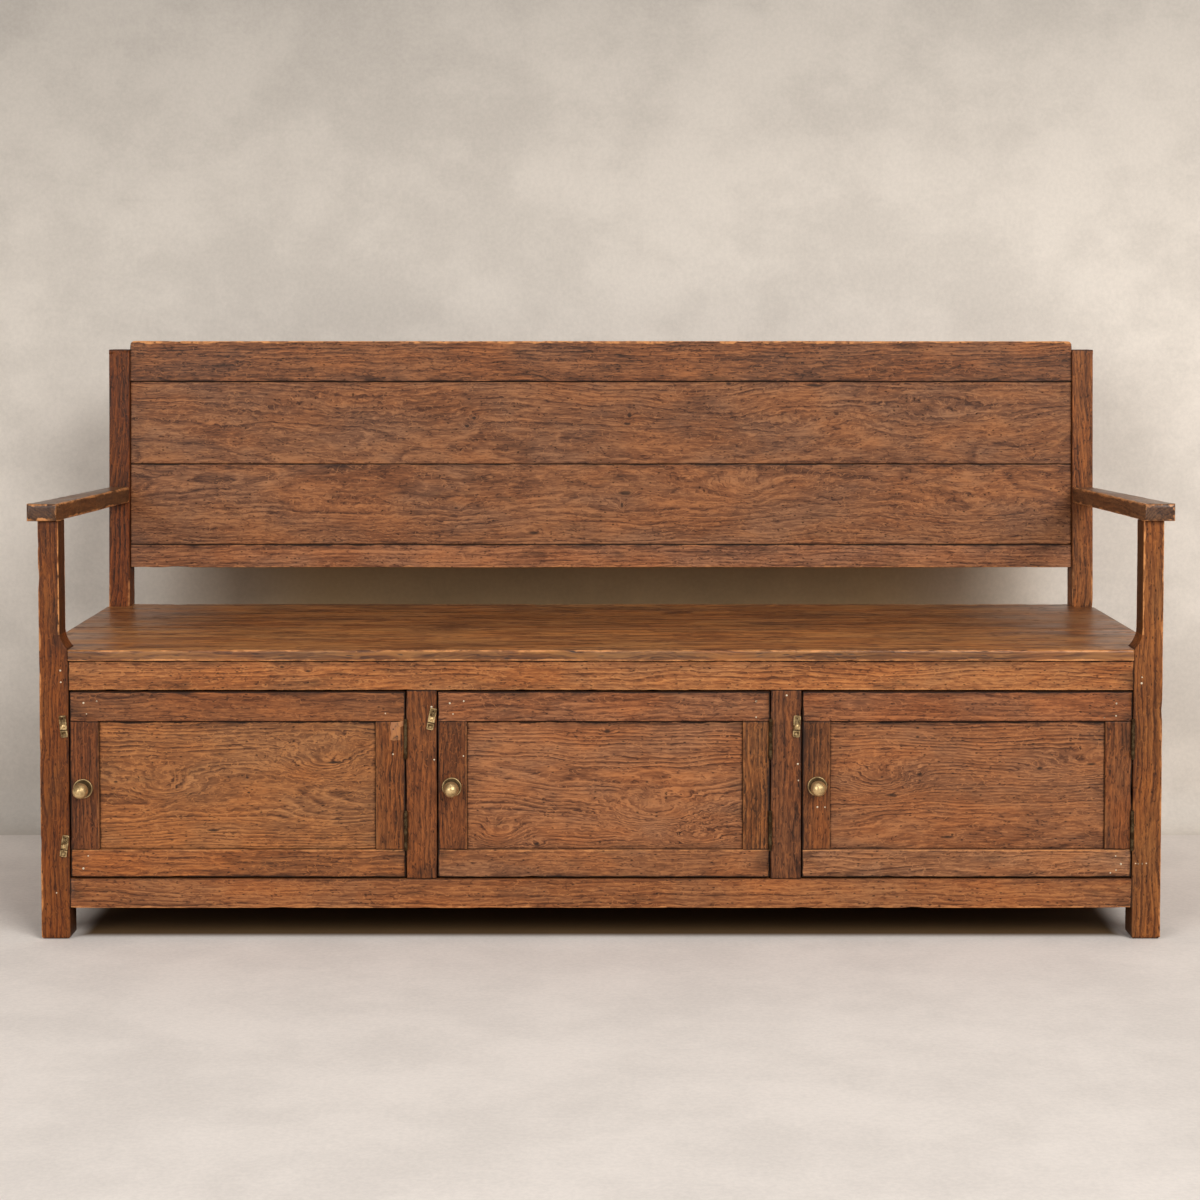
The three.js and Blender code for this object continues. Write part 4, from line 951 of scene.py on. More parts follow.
def front_boards():
    """The posts, the rails and the muntins of the front."""
    between = (POST_LEFT[1].x, POST_RIGHT[0].x)
    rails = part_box("front_bottom_rail"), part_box("front_top_rail")
    upright = (rails[0][1].z, rails[1][0].z)

    def stand(node):
        """The inner edge of an arm stand, in the axes of its post, and the height from which it is free."""
        inner = min((v.co.x for v in frame["nodes"][node].data.vertices if v.co.z > STAND_TOP), key=abs)
        return (-inner, STAND_FOOT)

    return [
        Board("front_post_left", UPRIGHT, "red", borders=(0.3, -0.8, 0), pith=(60, -50), streaks=0.4,
              sides=0.6, second=stand("front_post_left")),
        Board("front_post_right", UPRIGHT, "red", borders=(-0.8, 0.3, 0), pith=(-50, -60), streaks=0.4,
              sides=0.6, second=stand("front_post_right")),
        Board("front_top_rail", ALONG_FRONT, "golden", ends=between, borders=(-0.5, 1, 1), pith=(-60, -70),
              eyes=((-519.4, 447.5, 9, 4, 2, 0.25), (-477.1, 440.9, 9, 4, 2, 0.3),
                    (-325.6, 450, 20, 3, 1.5, 0.12))),
        Board("front_bottom_rail", ALONG_FRONT, "golden", ends=between, borders=(-0.7, 0.3, 1),
              pith=(60, -70)),
        Board("muntin_left", UPRIGHT, "dark", ends=upright, borders=(0.4, 0.4, 1), pith=(40, -60)),
        Board("muntin_right", UPRIGHT, "dark", ends=upright, borders=(0.4, 0.4, 1), pith=(-45, -60)),
    ]


def rear_boards():
    """The rear posts."""
    return [
        Board("rear_post_left", UPRIGHT, "dark", borders=(-0.6, -0.6, 0), pith=(50, -60), streaks=0.45),
        Board("rear_post_right", UPRIGHT, "dark", borders=(-0.8, -0.4, 0), pith=(-50, -60), streaks=0.45),
    ]


def end_boards():
    """The rails and the panel of each end."""
    boards = []
    deep = (POST_LEFT[1].y, REAR_LEFT[0].y)
    top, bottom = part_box("end_top_rail_left"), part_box("end_bottom_rail_left")
    for side in ("left", "right"):
        boards += [
            Board(f"end_top_rail_{side}", ALONG_END, "red", ends=deep, borders=(-0.4, 1, 1)),
            Board(f"end_bottom_rail_{side}", ALONG_END, "red", ends=deep, borders=(-0.5, -0.4, 1)),
            Board(f"end_panel_{side}", ALONG_END, "red", ends=deep, edges=(bottom[1].z, top[0].z),
                  borders=(1, 1, 1), pith=(30, -50), wander=60),
        ]
    return boards


def inner_boards():
    """The rear plank, the cupboard floor and the partitions."""
    return [
        Board("rear_plank", ALONG_FRONT, "dark", pith=(-100, -90), wander=50),
        Board("cupboard_floor", FLAT_ACROSS, "dark", pith=(-150, -90), wander=60),
        Board("partition_left", ALONG_END, "dark", pith=(60, -60), wander=60),
        Board("partition_right", ALONG_END, "dark", pith=(-60, -60), wander=60),
    ]


def seat_boards():
    """The two boards of the seat."""
    return [
        Board("seat_front_board", FLAT_ACROSS, "golden", borders=(-0.9, 3.4, -0.3), spacing=8,
              pith=(-120, -60), wander=50, curl=5, stretch=2.8, widen=2.6, streaks=0.9, shine=0.45,
              matt=-0.14, sides=0.4),
        Board("seat_rear_board", FLAT_ACROSS, "golden", borders=(1.8, 0, -0.3), spacing=8, pith=(160, -60),
              wander=50, curl=5, stretch=2.8, widen=2.6, streaks=0.9, shine=0.45, matt=-0.14),
    ]


ARM_FRONT = 12 * MM
ARM_REAR = 20 * MM


def arm_boards():
    """The arms, which draw in and fall towards the back."""
    boards = []
    for node, pith in (("arm_left", 60), ("arm_right", -60)):
        board = Board(node, FLAT_DEEP, "red", borders=(-1.3, -1.3, -1.5), pith=(pith, -60), streaks=0.5,
                      sides=0.2, shine=0.4, matt=-0.12, ease=1.9)
        places = np.array([board.turn @ v.co for v in frame["nodes"][node].data.vertices])
        front = places[places[:, 0] < board.reach[0] + ARM_FRONT]
        rear = places[places[:, 0] > board.reach[1] - ARM_REAR]
        middles = [(part.min(0) + part.max(0)) / 2 for part in (front, rear)]
        halves = [(part.max(0) - part.min(0)) / 2 for part in (front, rear)]
        run = middles[1][0] - middles[0][0]
        lean = (middles[1] - middles[0]) / run
        board.lean = (lean[1], lean[2], (halves[1][1] - halves[0][1]) / run)
        for axis in (1, 2):
            board.centre[axis] = (middles[0][axis] + middles[1][axis]) / 2
            board.half[axis] = (halves[0][axis] + halves[1][axis]) / 2
        boards.append(board)
    return boards


def back_boards():
    """The rails and the boards of the back."""
    between = (REAR_LEFT[1].x, REAR_RIGHT[0].x)

    def marks(node, *spots):
        """Marks given by their place across and up, put into the leaning board's own axes."""
        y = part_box(node)[0].y / MM
        found = []
        for x, z, *rest in spots:
            place = place_on(ALONG_BACK, x, y, z) / MM
            found.append((place.x, place.y, *rest))
        return found

    return [
        Board("back_top_rail", ALONG_BACK, "dark", ends=between, borders=(1.2, -1.5, 0.5), pith=(-60, -80),
              smudges=1.3, streaks=0.4),
        Board("back_upper_board", ALONG_BACK, "red", ends=between, borders=(1.1, 1.6, 0.6), spacing=7,
              pith=(-40, -60), wander=60, figure=0.9, streaks=0.36, smudges=0.8,
              eyes=marks("back_upper_board", (-249.6, 811.1, 8, 5, 2, 0.5), (-236.5, 826.1, 6, 4, 2, 0.5),
                         (-245.7, 861.5, 5, 3, 1, 0.5), (53, 831, 6, 8, 1, 0.6), (49, 815, 11, 4, 1, 0.7),
                         (238, 890, 10, 5, 1, 0.6), (398, 887, 30, 5, 1, 0.4), (360, 800, 110, 30, 3, 0),
                         (-520, 830, 130, 30, 3, 0), (640, 830, 90, 26, 3, 0))),
        Board("back_lower_board", ALONG_BACK, "red", ends=between, borders=(1.3, 1.1, 0.6), spacing=7,
              pith=(50, -60), wander=60, figure=0.9, streaks=0.36, smudges=0.8,
              eyes=marks("back_lower_board", (44.7, 686.5, 17, 6, 3, 0.8), (39, 664, 5, 9, 2, 0.5),
                         (-125, 612, 16, 5, 1, 0.6), (-270.1, 658.5, 9, 4, 3, 0.3),
                         (300, 690, 120, 28, 3, 0), (-480, 640, 150, 30, 3, 0),
                         (690, 650, 110, 26, 3, 0))),
        Board("back_bottom_rail", ALONG_BACK, "red", ends=between, borders=(-0.6, 1.2, 0.6), pith=(60, -70),
              streaks=0.35),
    ]


PANEL_EYES = {
    "left": ((-450, 289, 66, 29, 6.6, 0), (-434, 290, 22, 3, 0.5, 0.7), (-717, 245, 60, 28, 6, 0),
             (-793, 258, 20, 10, 2, 0.05), (-634, 178, 17, 3.5, 0.8, 0.6), (-578, 265, 5, 3, 0.6, 0.6),
             (-576, 240, 5, 3, 0.6, 0.6)),
    "middle": ((88, 207, 74, 31, 7, 0), (-167, 169, 38, 20, 4, 0), (10, 341, 10, 6, 1, 0.5),
               (-105, 155, 12, 7, 2, 0.35), (159, 165, 34, 15, 3.4, 0), (200, 219, 18, 9, 2, 0.02)),
    "right": ((454, 258, 56, 25, 5.6, 0), (521, 270, 9, 6, 1.4, 0.5), (801, 287, 62, 17, 4, 0.03),
              (717, 280, 9, 5, 1.2, 0.5), (476, 236, 22, 7, 1, 0.3), (566, 167, 20, 4, 0.6, 0.5),
              (517, 347, 5, 3, 0.4, 0.6), (517, 332, 5, 3, 0.4, 0.6)),
}
PANEL_PITH = {"left": (-10, -45), "middle": (20, -40), "right": (-90, -50)}


def door_boards(door):
    """The two rails, the two stiles and the panel of one door."""
    name = f"door_{door}"
    top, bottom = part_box(f"{name}_top_rail"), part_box(f"{name}_bottom_rail")
    latch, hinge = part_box(f"{name}_latch_stile"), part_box(f"{name}_hinge_stile")
    upright = (bottom[1].z, top[0].z)
    bay = (latch[1].x, hinge[0].x)
    return [
        Board(f"{name}_top_rail", ALONG_FRONT, "red", borders=(0, 1, 1), pith=(40, -60)),
        Board(f"{name}_bottom_rail", ALONG_FRONT, "red", borders=(1, -0.6, 1), pith=(-40, -60)),
        Board(f"{name}_latch_stile", UPRIGHT, "dark", ends=upright, borders=(-0.2, 1, 0.8), pith=(-40, -50)),
        Board(f"{name}_hinge_stile", UPRIGHT, "dark", ends=upright, borders=(1, -0.2, 0.8), pith=(40, -50)),
        Board(f"{name}_panel", ALONG_FRONT, "red", ends=bay, edges=upright, borders=(0.6, 1.8, 0.7),
              spacing=5, pith=PANEL_PITH[door], wander=46, curl=5, eyes=PANEL_EYES[door], figure=1.25,
              streaks=0.16, smudges=0.6),
    ]


# Knobs

KNOB_BALL_RADIUS = 12.7 * MM
KNOB_BALL_REACH = 21.5 * MM
KNOB_NECK_RADIUS = 5 * MM
KNOB_COLLAR_RADIUS = 7 * MM
KNOB_COLLAR_REACH = 4.2 * MM
KNOB_COLLAR_TAPER = 1.5 * MM
KNOB_SEAT = 0.3 * MM
KNOB_FLANGE_RADIUS = 16 * MM
KNOB_FLANGE_THICKNESS = 2.9 * MM
KNOB_RIM_WIDTH = 2 * MM
KNOB_DISH_RADIUS = 12.4 * MM
KNOB_DISH_THICKNESS = 1.6 * MM
KNOB_SHANK_RADIUS = 2.5 * MM
KNOB_BALL_STEPS = 28
KNOB_RIM_STEPS = 8


def knob_profile():
    """Half the outline of a knob as (radius, reach from the door, recess), from its shank to its tip."""
    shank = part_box("knob_left")[1].y - DOOR_FACE
    points = [(0, -shank, 1), (KNOB_SHANK_RADIUS, -shank, 1), (KNOB_SHANK_RADIUS, KNOB_SEAT, 1),
              (KNOB_FLANGE_RADIUS, KNOB_SEAT, 1)]
    half_rim = KNOB_RIM_WIDTH / 2
    crown = KNOB_FLANGE_RADIUS - half_rim
    for i in range(KNOB_RIM_STEPS + 1):
        turn = math.pi * i / KNOB_RIM_STEPS
        reach = KNOB_FLANGE_THICKNESS - half_rim + half_rim * math.sin(turn)
        points.append((crown + half_rim * math.cos(turn), reach, 0.75 * abs(math.cos(turn))))
    points.append((KNOB_DISH_RADIUS, KNOB_DISH_THICKNESS, 1))
    points.append((KNOB_COLLAR_RADIUS, KNOB_DISH_THICKNESS, 1))
    points.append((KNOB_COLLAR_RADIUS, KNOB_COLLAR_REACH, 0.5))
    points.append((KNOB_NECK_RADIUS, KNOB_COLLAR_REACH + KNOB_COLLAR_TAPER, 1))
    start = math.asin(KNOB_NECK_RADIUS / KNOB_BALL_RADIUS)
    for i in range(KNOB_BALL_STEPS):
        turn = start + (math.pi - start) * i / KNOB_BALL_STEPS
        reach = KNOB_BALL_REACH - KNOB_BALL_RADIUS * math.cos(turn)
        points.append((KNOB_BALL_RADIUS * math.sin(turn), reach, max(0, 1 - turn / 1.1)))
    points.append((0, KNOB_BALL_REACH + KNOB_BALL_RADIUS, 0))
    return points


def lathe(name, profile, facets, centre):
    """A closed turned mesh: profile is (radius, reach, recess), turned about a line to the front."""
    mesh = bmesh.new()
    rings = []
    for radius, reach, _recess in profile:
        if radius == 0:
            rings.append([mesh.verts.new(centre + Vector((0, -reach, 0)))])
            continue
        rings.append([
            mesh.verts.new(centre + Vector((radius * math.cos(turn), -reach, radius * math.sin(turn))))
            for turn in (math.tau * k / facets for k in range(facets))
        ])
    for inner, outer in zip(rings, rings[1:]):
        for k in range(facets):
            corners = [inner[k % len(inner)], inner[(k + 1) % len(inner)],
                       outer[(k + 1) % len(outer)], outer[k % len(outer)]]
            mesh.faces.new(list(dict.fromkeys(corners)))
    bmesh.ops.recalc_face_normals(mesh, faces=mesh.faces)
    data = bpy.data.meshes.new(name)
    mesh.to_mesh(data)
    mesh.free()
    mark_recess(data, [recess for radius, _reach, recess in profile
                       for _k in range(facets if radius else 1)])
    finish_surface(data)
    return data


# Small fastenings

BUTTON_SUNK = 0.7 * MM
SUNK_FROM = 0.4 * MM
NAILS = {
    "root": ((-880.3, 441.9, POST_FACE), (-879.8, 422.8, POST_FACE), (-889.7, 76, POST_FACE),
             (881.2, 430.5, POST_FACE), (880.6, 420.6, POST_FACE), (873.5, 124.5, POST_FACE),
             (878, 124, POST_FACE), (884, 124, POST_FACE), (891, 124.5, POST_FACE),
             (-276.3, 381.9, RAIL_FACE), (-272.1, 295.3, RAIL_FACE), (320.9, 365.2, RAIL_FACE),
             (302.6, 400.8, RAIL_FACE),
             (321.9, 261.4, RAIL_FACE), (320.9, 288.5, RAIL_FACE)),
    "door_left": ((-843.2, 388.8, DOOR_FACE), (-822, 391.5, DOOR_FACE), (-838.4, 370.9, DOOR_FACE),
                  (-837.9, 137, DOOR_FACE), (-846, 116.1, DOOR_FACE), (-351.5, 371.3, DOOR_FACE),
                  (-339.2, 304.3, DOOR_FACE)),
    "door_middle": ((-246.4, 388, DOOR_FACE), (-223.7, 391.6, DOOR_FACE), (-241.3, 370.5, DOOR_FACE),
                    (-224.4, 301.5, DOOR_FACE), (253.3, 391.1, DOOR_FACE), (252.9, 365, DOOR_FACE)),
    "door_right": ((840.2, 387.7, DOOR_FACE), (839.6, 367.3, DOOR_FACE), (820.7, 364.2, DOOR_FACE),
                   (841.2, 136.7, DOOR_FACE), (849.7, 123.3, DOOR_FACE), (841.8, 113.3, DOOR_FACE),
                   (832.7, 108.6, DOOR_FACE), (353, 217.6, DOOR_FACE), (365.2, 217.3, DOOR_FACE)),
}


def dome(name, radius, height, slot_width, rings=3, facets=12):
    """The head of a nail or a screw, standing on Z = 0, with a slot across it where slot_width isn't 0."""
    mesh = bmesh.new()
    profile = [(radius * math.cos(a), height * math.sin(a))
               for a in (math.pi / 2 * i / rings for i in range(rings))]
    loops = []
    for r, z in [(radius, -height)] + profile:
        loops.append([mesh.verts.new((r * math.cos(t), r * math.sin(t), z))
                      for t in (math.tau * k / facets for k in range(facets))])
    top = mesh.verts.new((0, 0, height))
    for low, high in zip(loops, loops[1:]):
        for k in range(facets):
            mesh.faces.new((low[k], low[(k + 1) % facets], high[(k + 1) % facets], high[k]))
    for k in range(facets):
        mesh.faces.new((loops[-1][k], loops[-1][(k + 1) % facets], top))
    mesh.faces.new(loops[0][::-1])
    data = bpy.data.meshes.new(name)
    mesh.to_mesh(data)
    mesh.free()
    head = bpy.data.objects.new(name, data)
    bpy.context.scene.collection.objects.link(head)
    if slot_width:
        cutter = bmesh.new()
        bmesh.ops.create_cube(cutter, size=1, matrix=Matrix.LocRotScale(
            Vector((0, 0, height)), None, Vector((radius * 3, slot_width, height * 1.1))))
        cutter_data = bpy.data.meshes.new(name + "_slot")
        cutter.to_mesh(cutter_data)
        cutter.free()
        saw = bpy.data.objects.new(name + "_slot", cutter_data)
        bpy.context.scene.collection.objects.link(saw)
        cut = head.modifiers.new("Slot", "BOOLEAN")
        cut.operation = "DIFFERENCE"
        cut.object = saw
        slotted = evaluated(head)
        head.modifiers.clear()
        head.data = slotted
        bpy.data.objects.remove(saw)
    return head


def heads_tree():
    """Geometry Nodes: puts a head on every point, turned to face the way the point's normal says."""
    tree = bpy.data.node_groups.new("Bench Heads", "GeometryNodeTree")
    sockets = (("Geometry", "Geometry", None), ("Head", "Object", None), ("Size", "Float", 1.0),
               ("Size Spread", "Float", 0.15), ("Seed", "Int", 7), ("Metal", "Material", None))
    for label, kind, default in sockets:
        socket = tree.interface.new_socket(label, in_out="INPUT", socket_type=f"NodeSocket{kind}")
        if default is not None:
            socket.default_value = default
    tree.interface.new_socket("Geometry", in_out="OUTPUT", socket_type="NodeSocketGeometry")
    given, result = tree.nodes.new("NodeGroupInput"), tree.nodes.new("NodeGroupOutput")
    facing = add_node(tree, "GeometryNodeInputNamedAttribute", {"Name": "facing"}, data_type="FLOAT_VECTOR")
    aligned = add_node(tree, "FunctionNodeAlignRotationToVector", {"Vector": facing.outputs[0]}, axis="Z")
    turn = add_node(tree, "FunctionNodeRandomValue", {"Seed": given.outputs["Seed"]}, data_type="FLOAT")
    turn.inputs[3].default_value = math.tau
    spin = add_node(tree, "FunctionNodeAxisAngleToRotation", {"Axis": (0, 0, 1), "Angle": turn.outputs[1]})
    placed = add_node(tree, "FunctionNodeRotateRotation",
                      {"Rotation": aligned.outputs[0], "Rotate By": spin.outputs[0]}, rotation_space="LOCAL")
    size = add_node(tree, "FunctionNodeRandomValue", {"Seed": given.outputs["Seed"]}, data_type="FLOAT")
    least = calc(tree, "SUBTRACT", given.outputs["Size"], given.outputs["Size Spread"])
    most = calc(tree, "ADD", given.outputs["Size"], given.outputs["Size Spread"])
    tree.links.new(least, size.inputs[2])
    tree.links.new(most, size.inputs[3])
    source = add_node(tree, "GeometryNodeObjectInfo", {"Object": given.outputs["Head"]})
    source.inputs["As Instance"].default_value = True
    instances = add_node(tree, "GeometryNodeInstanceOnPoints",
                         {"Points": given.outputs["Geometry"], "Instance": source.outputs["Geometry"],
                          "Rotation": placed.outputs[0], "Scale": size.outputs[1]})
    real = add_node(tree, "GeometryNodeRealizeInstances", {"Geometry": instances.outputs[0]})
    dressed = add_node(tree, "GeometryNodeSetMaterial",
                       {"Geometry": real.outputs[0], "Material": given.outputs["Metal"]})
    tree.links.new(dressed.outputs[0], result.inputs[0])
    return tree


def make_heads(name, body, spots, head, material, spread=0.15, seed=7):
    """Nail or screw heads at the spots, each (place, facing), as one piece that rides on a body."""
    tree = bpy.data.node_groups.get("Bench Heads") or heads_tree()
    data = bpy.data.meshes.new(name + "_points")
    data.from_pydata([place for place, _facing in spots], [], [])
    facing = data.attributes.new("facing", "FLOAT_VECTOR", "POINT")
    facing.data.foreach_set("vector", [c for _place, way in spots for c in way])
    helper = bpy.data.objects.new(name + "_points", data)
    bpy.context.scene.collection.objects.link(helper)
    modifier = helper.modifiers.new("Heads", "NODES")
    modifier.node_group = tree
    values = {"Head": head, "Size Spread": spread, "Seed": seed, "Metal": material}
    for item in tree.interface.items_tree:
        if item.in_out == "INPUT" and item.name in values:
            modifier[item.identifier] = values[item.name]
    mesh = evaluated(helper)
    mesh.name = name
    bpy.data.objects.remove(helper)
    mesh.polygons.foreach_set("use_smooth", np.ones(len(mesh.polygons), bool))
    mesh.set_sharp_from_angle(angle=SMOOTH_ANGLE)
    return show(name, mesh, body)


SCREW_PROUD = 0.1 * MM
BUTTON_SCREW_HEIGHT = 0.6 * MM
BUTTON_SCREW_SUNK = 0.3 * MM
HINGE_SCREW_STEP = 22 * MM
HINGE_SCREW_DEPTHS = (6.5 * MM, 15.5 * MM)
HINGE_GAP = 0.2 * MM


def hinge_screw_spots(node):
    """Where the three screws of one leaf stand, and the way they face."""
    pin_x, pin_y, _z = HINGE_PINS["door_" + node.split("_")[1]]
    low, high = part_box(node)
    side = 1 if node.endswith("door_leaf") else -1
    middle = (low.z + high.z) / 2
    across = pin_x - side * HINGE_GAP
    return [
        (Vector((across, pin_y + HINGE_SCREW_DEPTHS[(i + 1) % 2], middle + i * HINGE_SCREW_STEP)),
         (side, 0, 0))
        for i in (-1, 0, 1)
    ]


# The let-in patch on the left door: its outline and its two nails, across and up
PATCH_NAILS = ((-338.6, 345.5), (-332.4, 333.8))
PATCH_PROUD = 0.18 * MM
PATCH_DEEP = 1.2 * MM
PATCH_OUTLINE = ((-344.2, 328.4), (-338.6, 326.6), (-331.4, 327.8), (-327.2, 327.2), (-326.6, 338.6),
                 (-327, 349), (-320.9, 351.8), (-321.1, 359.4), (-330.2, 357.4), (-341.9, 356.9),
                 (-344, 348.1), (-342.2, 338.2))


# Operators

WALL_FOOT = 0.16
# Painted light on the wall: it darkens towards its top, and it is darker on the left than on the right
WALL_TOP_PAINTED_SHADE = 0.53
WALL_SIDES_PAINTED_LIGHT = (0.94, 1.13)
UNDER_HALF_WIDTH = 0.87
UNDER_PAINTED_SHADE = (0.16, 0.1, 0.045)
BEHIND_PAINTED_SHADE = (0.73, 0.55, 0.33)


class BENCH_OT_stage(bpy.types.Operator):
    """Makes the camera, the pale floor and wall, and the soft studio light"""
    bl_idname = "bench.stage"
    bl_label = "Stage"

    def execute(self, context):
        stage = context.scene.bench_stage
        self.make_camera(context, stage)
        self.make_floor(stage)
        self.make_wall(stage)
        self.make_lights(context, stage)
        context.scene.view_settings.view_transform = "Standard"
        return {"FINISHED"}

    def make_camera(self, context, stage):
        data = bpy.data.cameras.new("camera")
        data.lens = stage.lens
        data.sensor_width = 36
        data.shift_x, data.shift_y = stage.shift_across, stage.shift_up
        data.clip_end = 60
        camera = bpy.data.objects.new("camera", data)
        context.scene.collection.objects.link(camera)
        camera.location = (0, POST_FACE - stage.eye_distance, stage.eye_height)
        camera.rotation_euler = (math.pi / 2 - stage.pitch, 0, 0)
        context.scene.camera = camera

    def plaster(self, name, colour, mottle, one_sided=False, painted_shade_under=False):
        """Plain mottled plaster, with painted shade right under a bench or low behind it, and painted light
        that falls off towards the top and the left of a wall.

        A one-sided wall can't be seen from behind, and only its foot casts a shadow.
        """
        material, tree, shader = new_material(name)
        vector = board_vector(tree, FLAT_ACROSS, Vector())
        patches = cloud(tree, vector, 2.0, (4.2, 4.2, 5.2), 8, 0.66)
        fine = cloud(tree, vector, 8.0, (130, 130, 130), 4, 0.7)
        share = calc(tree, "ADD", span(tree, patches, 0.36, 0.64, -mottle, mottle),
                     span(tree, fine, 0.3, 0.7, -0.04, 0.04))
        bright = calc(tree, "ADD", share, 1)
        x, y, z = split(tree, vector)
        # Painted shade: the floor right under the bench is multiplied darker, as shadow that the lights don't
        # cast there
        if painted_shade_under:
            across = span(tree, calc(tree, "ABSOLUTE", x), UNDER_HALF_WIDTH - 0.03, UNDER_HALF_WIDTH, 0, 1)
            middle = (POST_FACE + REAR_LEFT[1].y) / 2
            deep = calc(tree, "ABSOLUTE", calc(tree, "SUBTRACT", y, middle))
            under = REAR_LEFT[1].y - middle
            along = span(tree, deep, under - 0.04, under - 0.01, 0, 1)
            outside_painted_shade = calc(tree, "MAXIMUM", across, along)
            colour = blend(tree, outside_painted_shade, [c * t for c, t in zip(colour, UNDER_PAINTED_SHADE)], colour)
        if one_sided:
            # Painted shadow of the bench on the wall low behind it, fading out beside the bench and above the
            # seat
            beside = span(tree, calc(tree, "ABSOLUTE", x), 0.52, 0.99)
            above = span(tree, z, 0.53, 0.64)
            outside_painted_shade = calc(tree, "MAXIMUM", beside, above)
            colour = blend(tree, outside_painted_shade, [c * t for c, t in zip(colour, BEHIND_PAINTED_SHADE)], colour)
            # Painted light: the wall darkens towards its top and brightens from left to right, as the light
            # falls off
            bright = calc(tree, "MULTIPLY", bright, span(tree, z, 0.7, 2.0, 1, WALL_TOP_PAINTED_SHADE))
            bright = calc(tree, "MULTIPLY", bright, span(tree, x, -1.4, 1.4, *WALL_SIDES_PAINTED_LIGHT))
        tint = add_node(tree, "ShaderNodeVectorMath", operation="SCALE")
        feed(tree, tint.inputs[0], colour)
        feed(tree, tint.inputs["Scale"], bright)
        feed(tree, shader.inputs["Base Color"], tint.outputs[0])
        shader.inputs["Roughness"].default_value = 0.9
        shader.inputs["Specular IOR Level"].default_value = 0.15
        if one_sided:
            behind = tree.nodes.new("ShaderNodeNewGeometry").outputs["Backfacing"]
            foot = span(tree, z, WALL_FOOT, WALL_FOOT + 0.05)
            shadow_ray = tree.nodes.new("ShaderNodeLightPath").outputs["Is Shadow Ray"]
            shadow = calc(tree, "MULTIPLY", shadow_ray, foot)
            clear = tree.nodes.new("ShaderNodeBsdfTransparent")
            mix = tree.nodes.new("ShaderNodeMixShader")
            tree.links.new(calc(tree, "MAXIMUM", behind, shadow), mix.inputs[0])
            tree.links.new(shader.outputs[0], mix.inputs[1])
            tree.links.new(clear.outputs[0], mix.inputs[2])
            output = next(n for n in tree.nodes if n.type == "OUTPUT_MATERIAL")
            tree.links.new(mix.outputs[0], output.inputs["Surface"])
        return material

    def make_floor(self, stage):
        reach = 9
        data = bpy.data.meshes.new("floor")
        drop = 0.3 * MM
        around = ((-reach, -reach), (reach, -reach), (reach, reach), (-reach, reach))
        corners = [(x, y, -drop) for x, y in around]
        data.from_pydata(corners, [], [(0, 1, 2, 3)])
        data.materials.append(self.plaster("floor_plaster", stage.floor, 0.05, painted_shade_under=True))
        floor = bpy.data.objects.new("floor", data)
        bpy.context.scene.collection.objects.link(floor)

    def make_wall(self, stage):
        """A wall that turns into the floor with a small cove."""
        half_width, height, steps = 6, 3.4, 12
        wall, cove = POST_FACE + stage.wall_distance, stage.cove
        profile = [(wall - cove + cove * math.sin(a), cove - cove * math.cos(a))
                   for a in (math.pi / 2 * i / steps for i in range(steps + 1))]
        profile.append((wall, height))
        points = [(x, y, z) for y, z in profile for x in (-half_width, half_width)]
        faces = [(2 * i, 2 * i + 1, 2 * i + 3, 2 * i + 2) for i in range(len(profile) - 1)]
        data = bpy.data.meshes.new("wall")
        data.from_pydata(points, [], faces)
        data.polygons.foreach_set("use_smooth", np.ones(len(faces), bool))
        data.materials.append(self.plaster("wall_plaster", stage.wall, 0.07, one_sided=True))
        wall = bpy.data.objects.new("wall", data)
        bpy.context.scene.collection.objects.link(wall)

    def make_light(self, name, power, place, target, size, colour):
        data = bpy.data.lights.new(name, "AREA")
        data.shape = "RECTANGLE"
        data.energy, data.color = power, colour
        data.size, data.size_y = size
        light = bpy.data.objects.new(name, data)
        bpy.context.scene.collection.objects.link(light)
        light.location = place
        light.rotation_euler = (Vector(target) - Vector(place)).to_track_quat("-Z", "Y").to_euler()

    def make_lights(self, context, stage):
        warm, neutral = (1, 0.985, 0.965), (1, 0.99, 0.98)
        self.make_light("key", stage.key_power, (3.6, -6.0, 4.2), (0, 0, 0.5), (4.2, 3), warm)
        self.make_light("fill", stage.fill_power, (-3.2, -5.0, 2.4), (0, 0, 0.5), (3, 3), neutral)
        self.make_light("top", stage.top_power, (0, -1.2, 3.4), (0, 0.1, 0.5), (3.4, 1.6), neutral)
        self.make_light("rear", stage.rear_power, (0.5, 3.2, 2.4), (0, 0, 0.5), (3, 2), neutral)
        world = bpy.data.worlds.new("room")
        world.use_nodes = True
        background = world.node_tree.nodes["Background"]
        background.inputs["Color"].default_value = (1, 0.985, 0.97, 1)
        background.inputs["Strength"].default_value = stage.room_light
        context.scene.world = world


class BENCH_OT_shaders(bpy.types.Operator):
    """Builds the shader groups that the finishes share"""
    bl_idname = "bench.shaders"
    bl_label = "Shader groups"

    def execute(self, context):
        build_eye_group()
        build_flow_group()
        build_growth_group()
        build_fibre_group()
        build_arris_group()
        build_teak_group()
        build_brass_group()
        return {"FINISHED"}


class BoardsOperator:
    """What the operators for boards share: each says which boards it makes."""

    def execute(self, context):
        for board in self.boards():
            make_board(board)
        return {"FINISHED"}


class BENCH_OT_front(BoardsOperator, bpy.types.Operator):
    """Makes the front posts, rails and muntins"""
    bl_idname = "bench.front"
    bl_label = "Front frame"

    def boards(self):
        return front_boards()


class BENCH_OT_rear(BoardsOperator, bpy.types.Operator):
    """Makes the rear posts"""
    bl_idname = "bench.rear"
    bl_label = "Rear posts"

    def boards(self):
        return rear_boards()


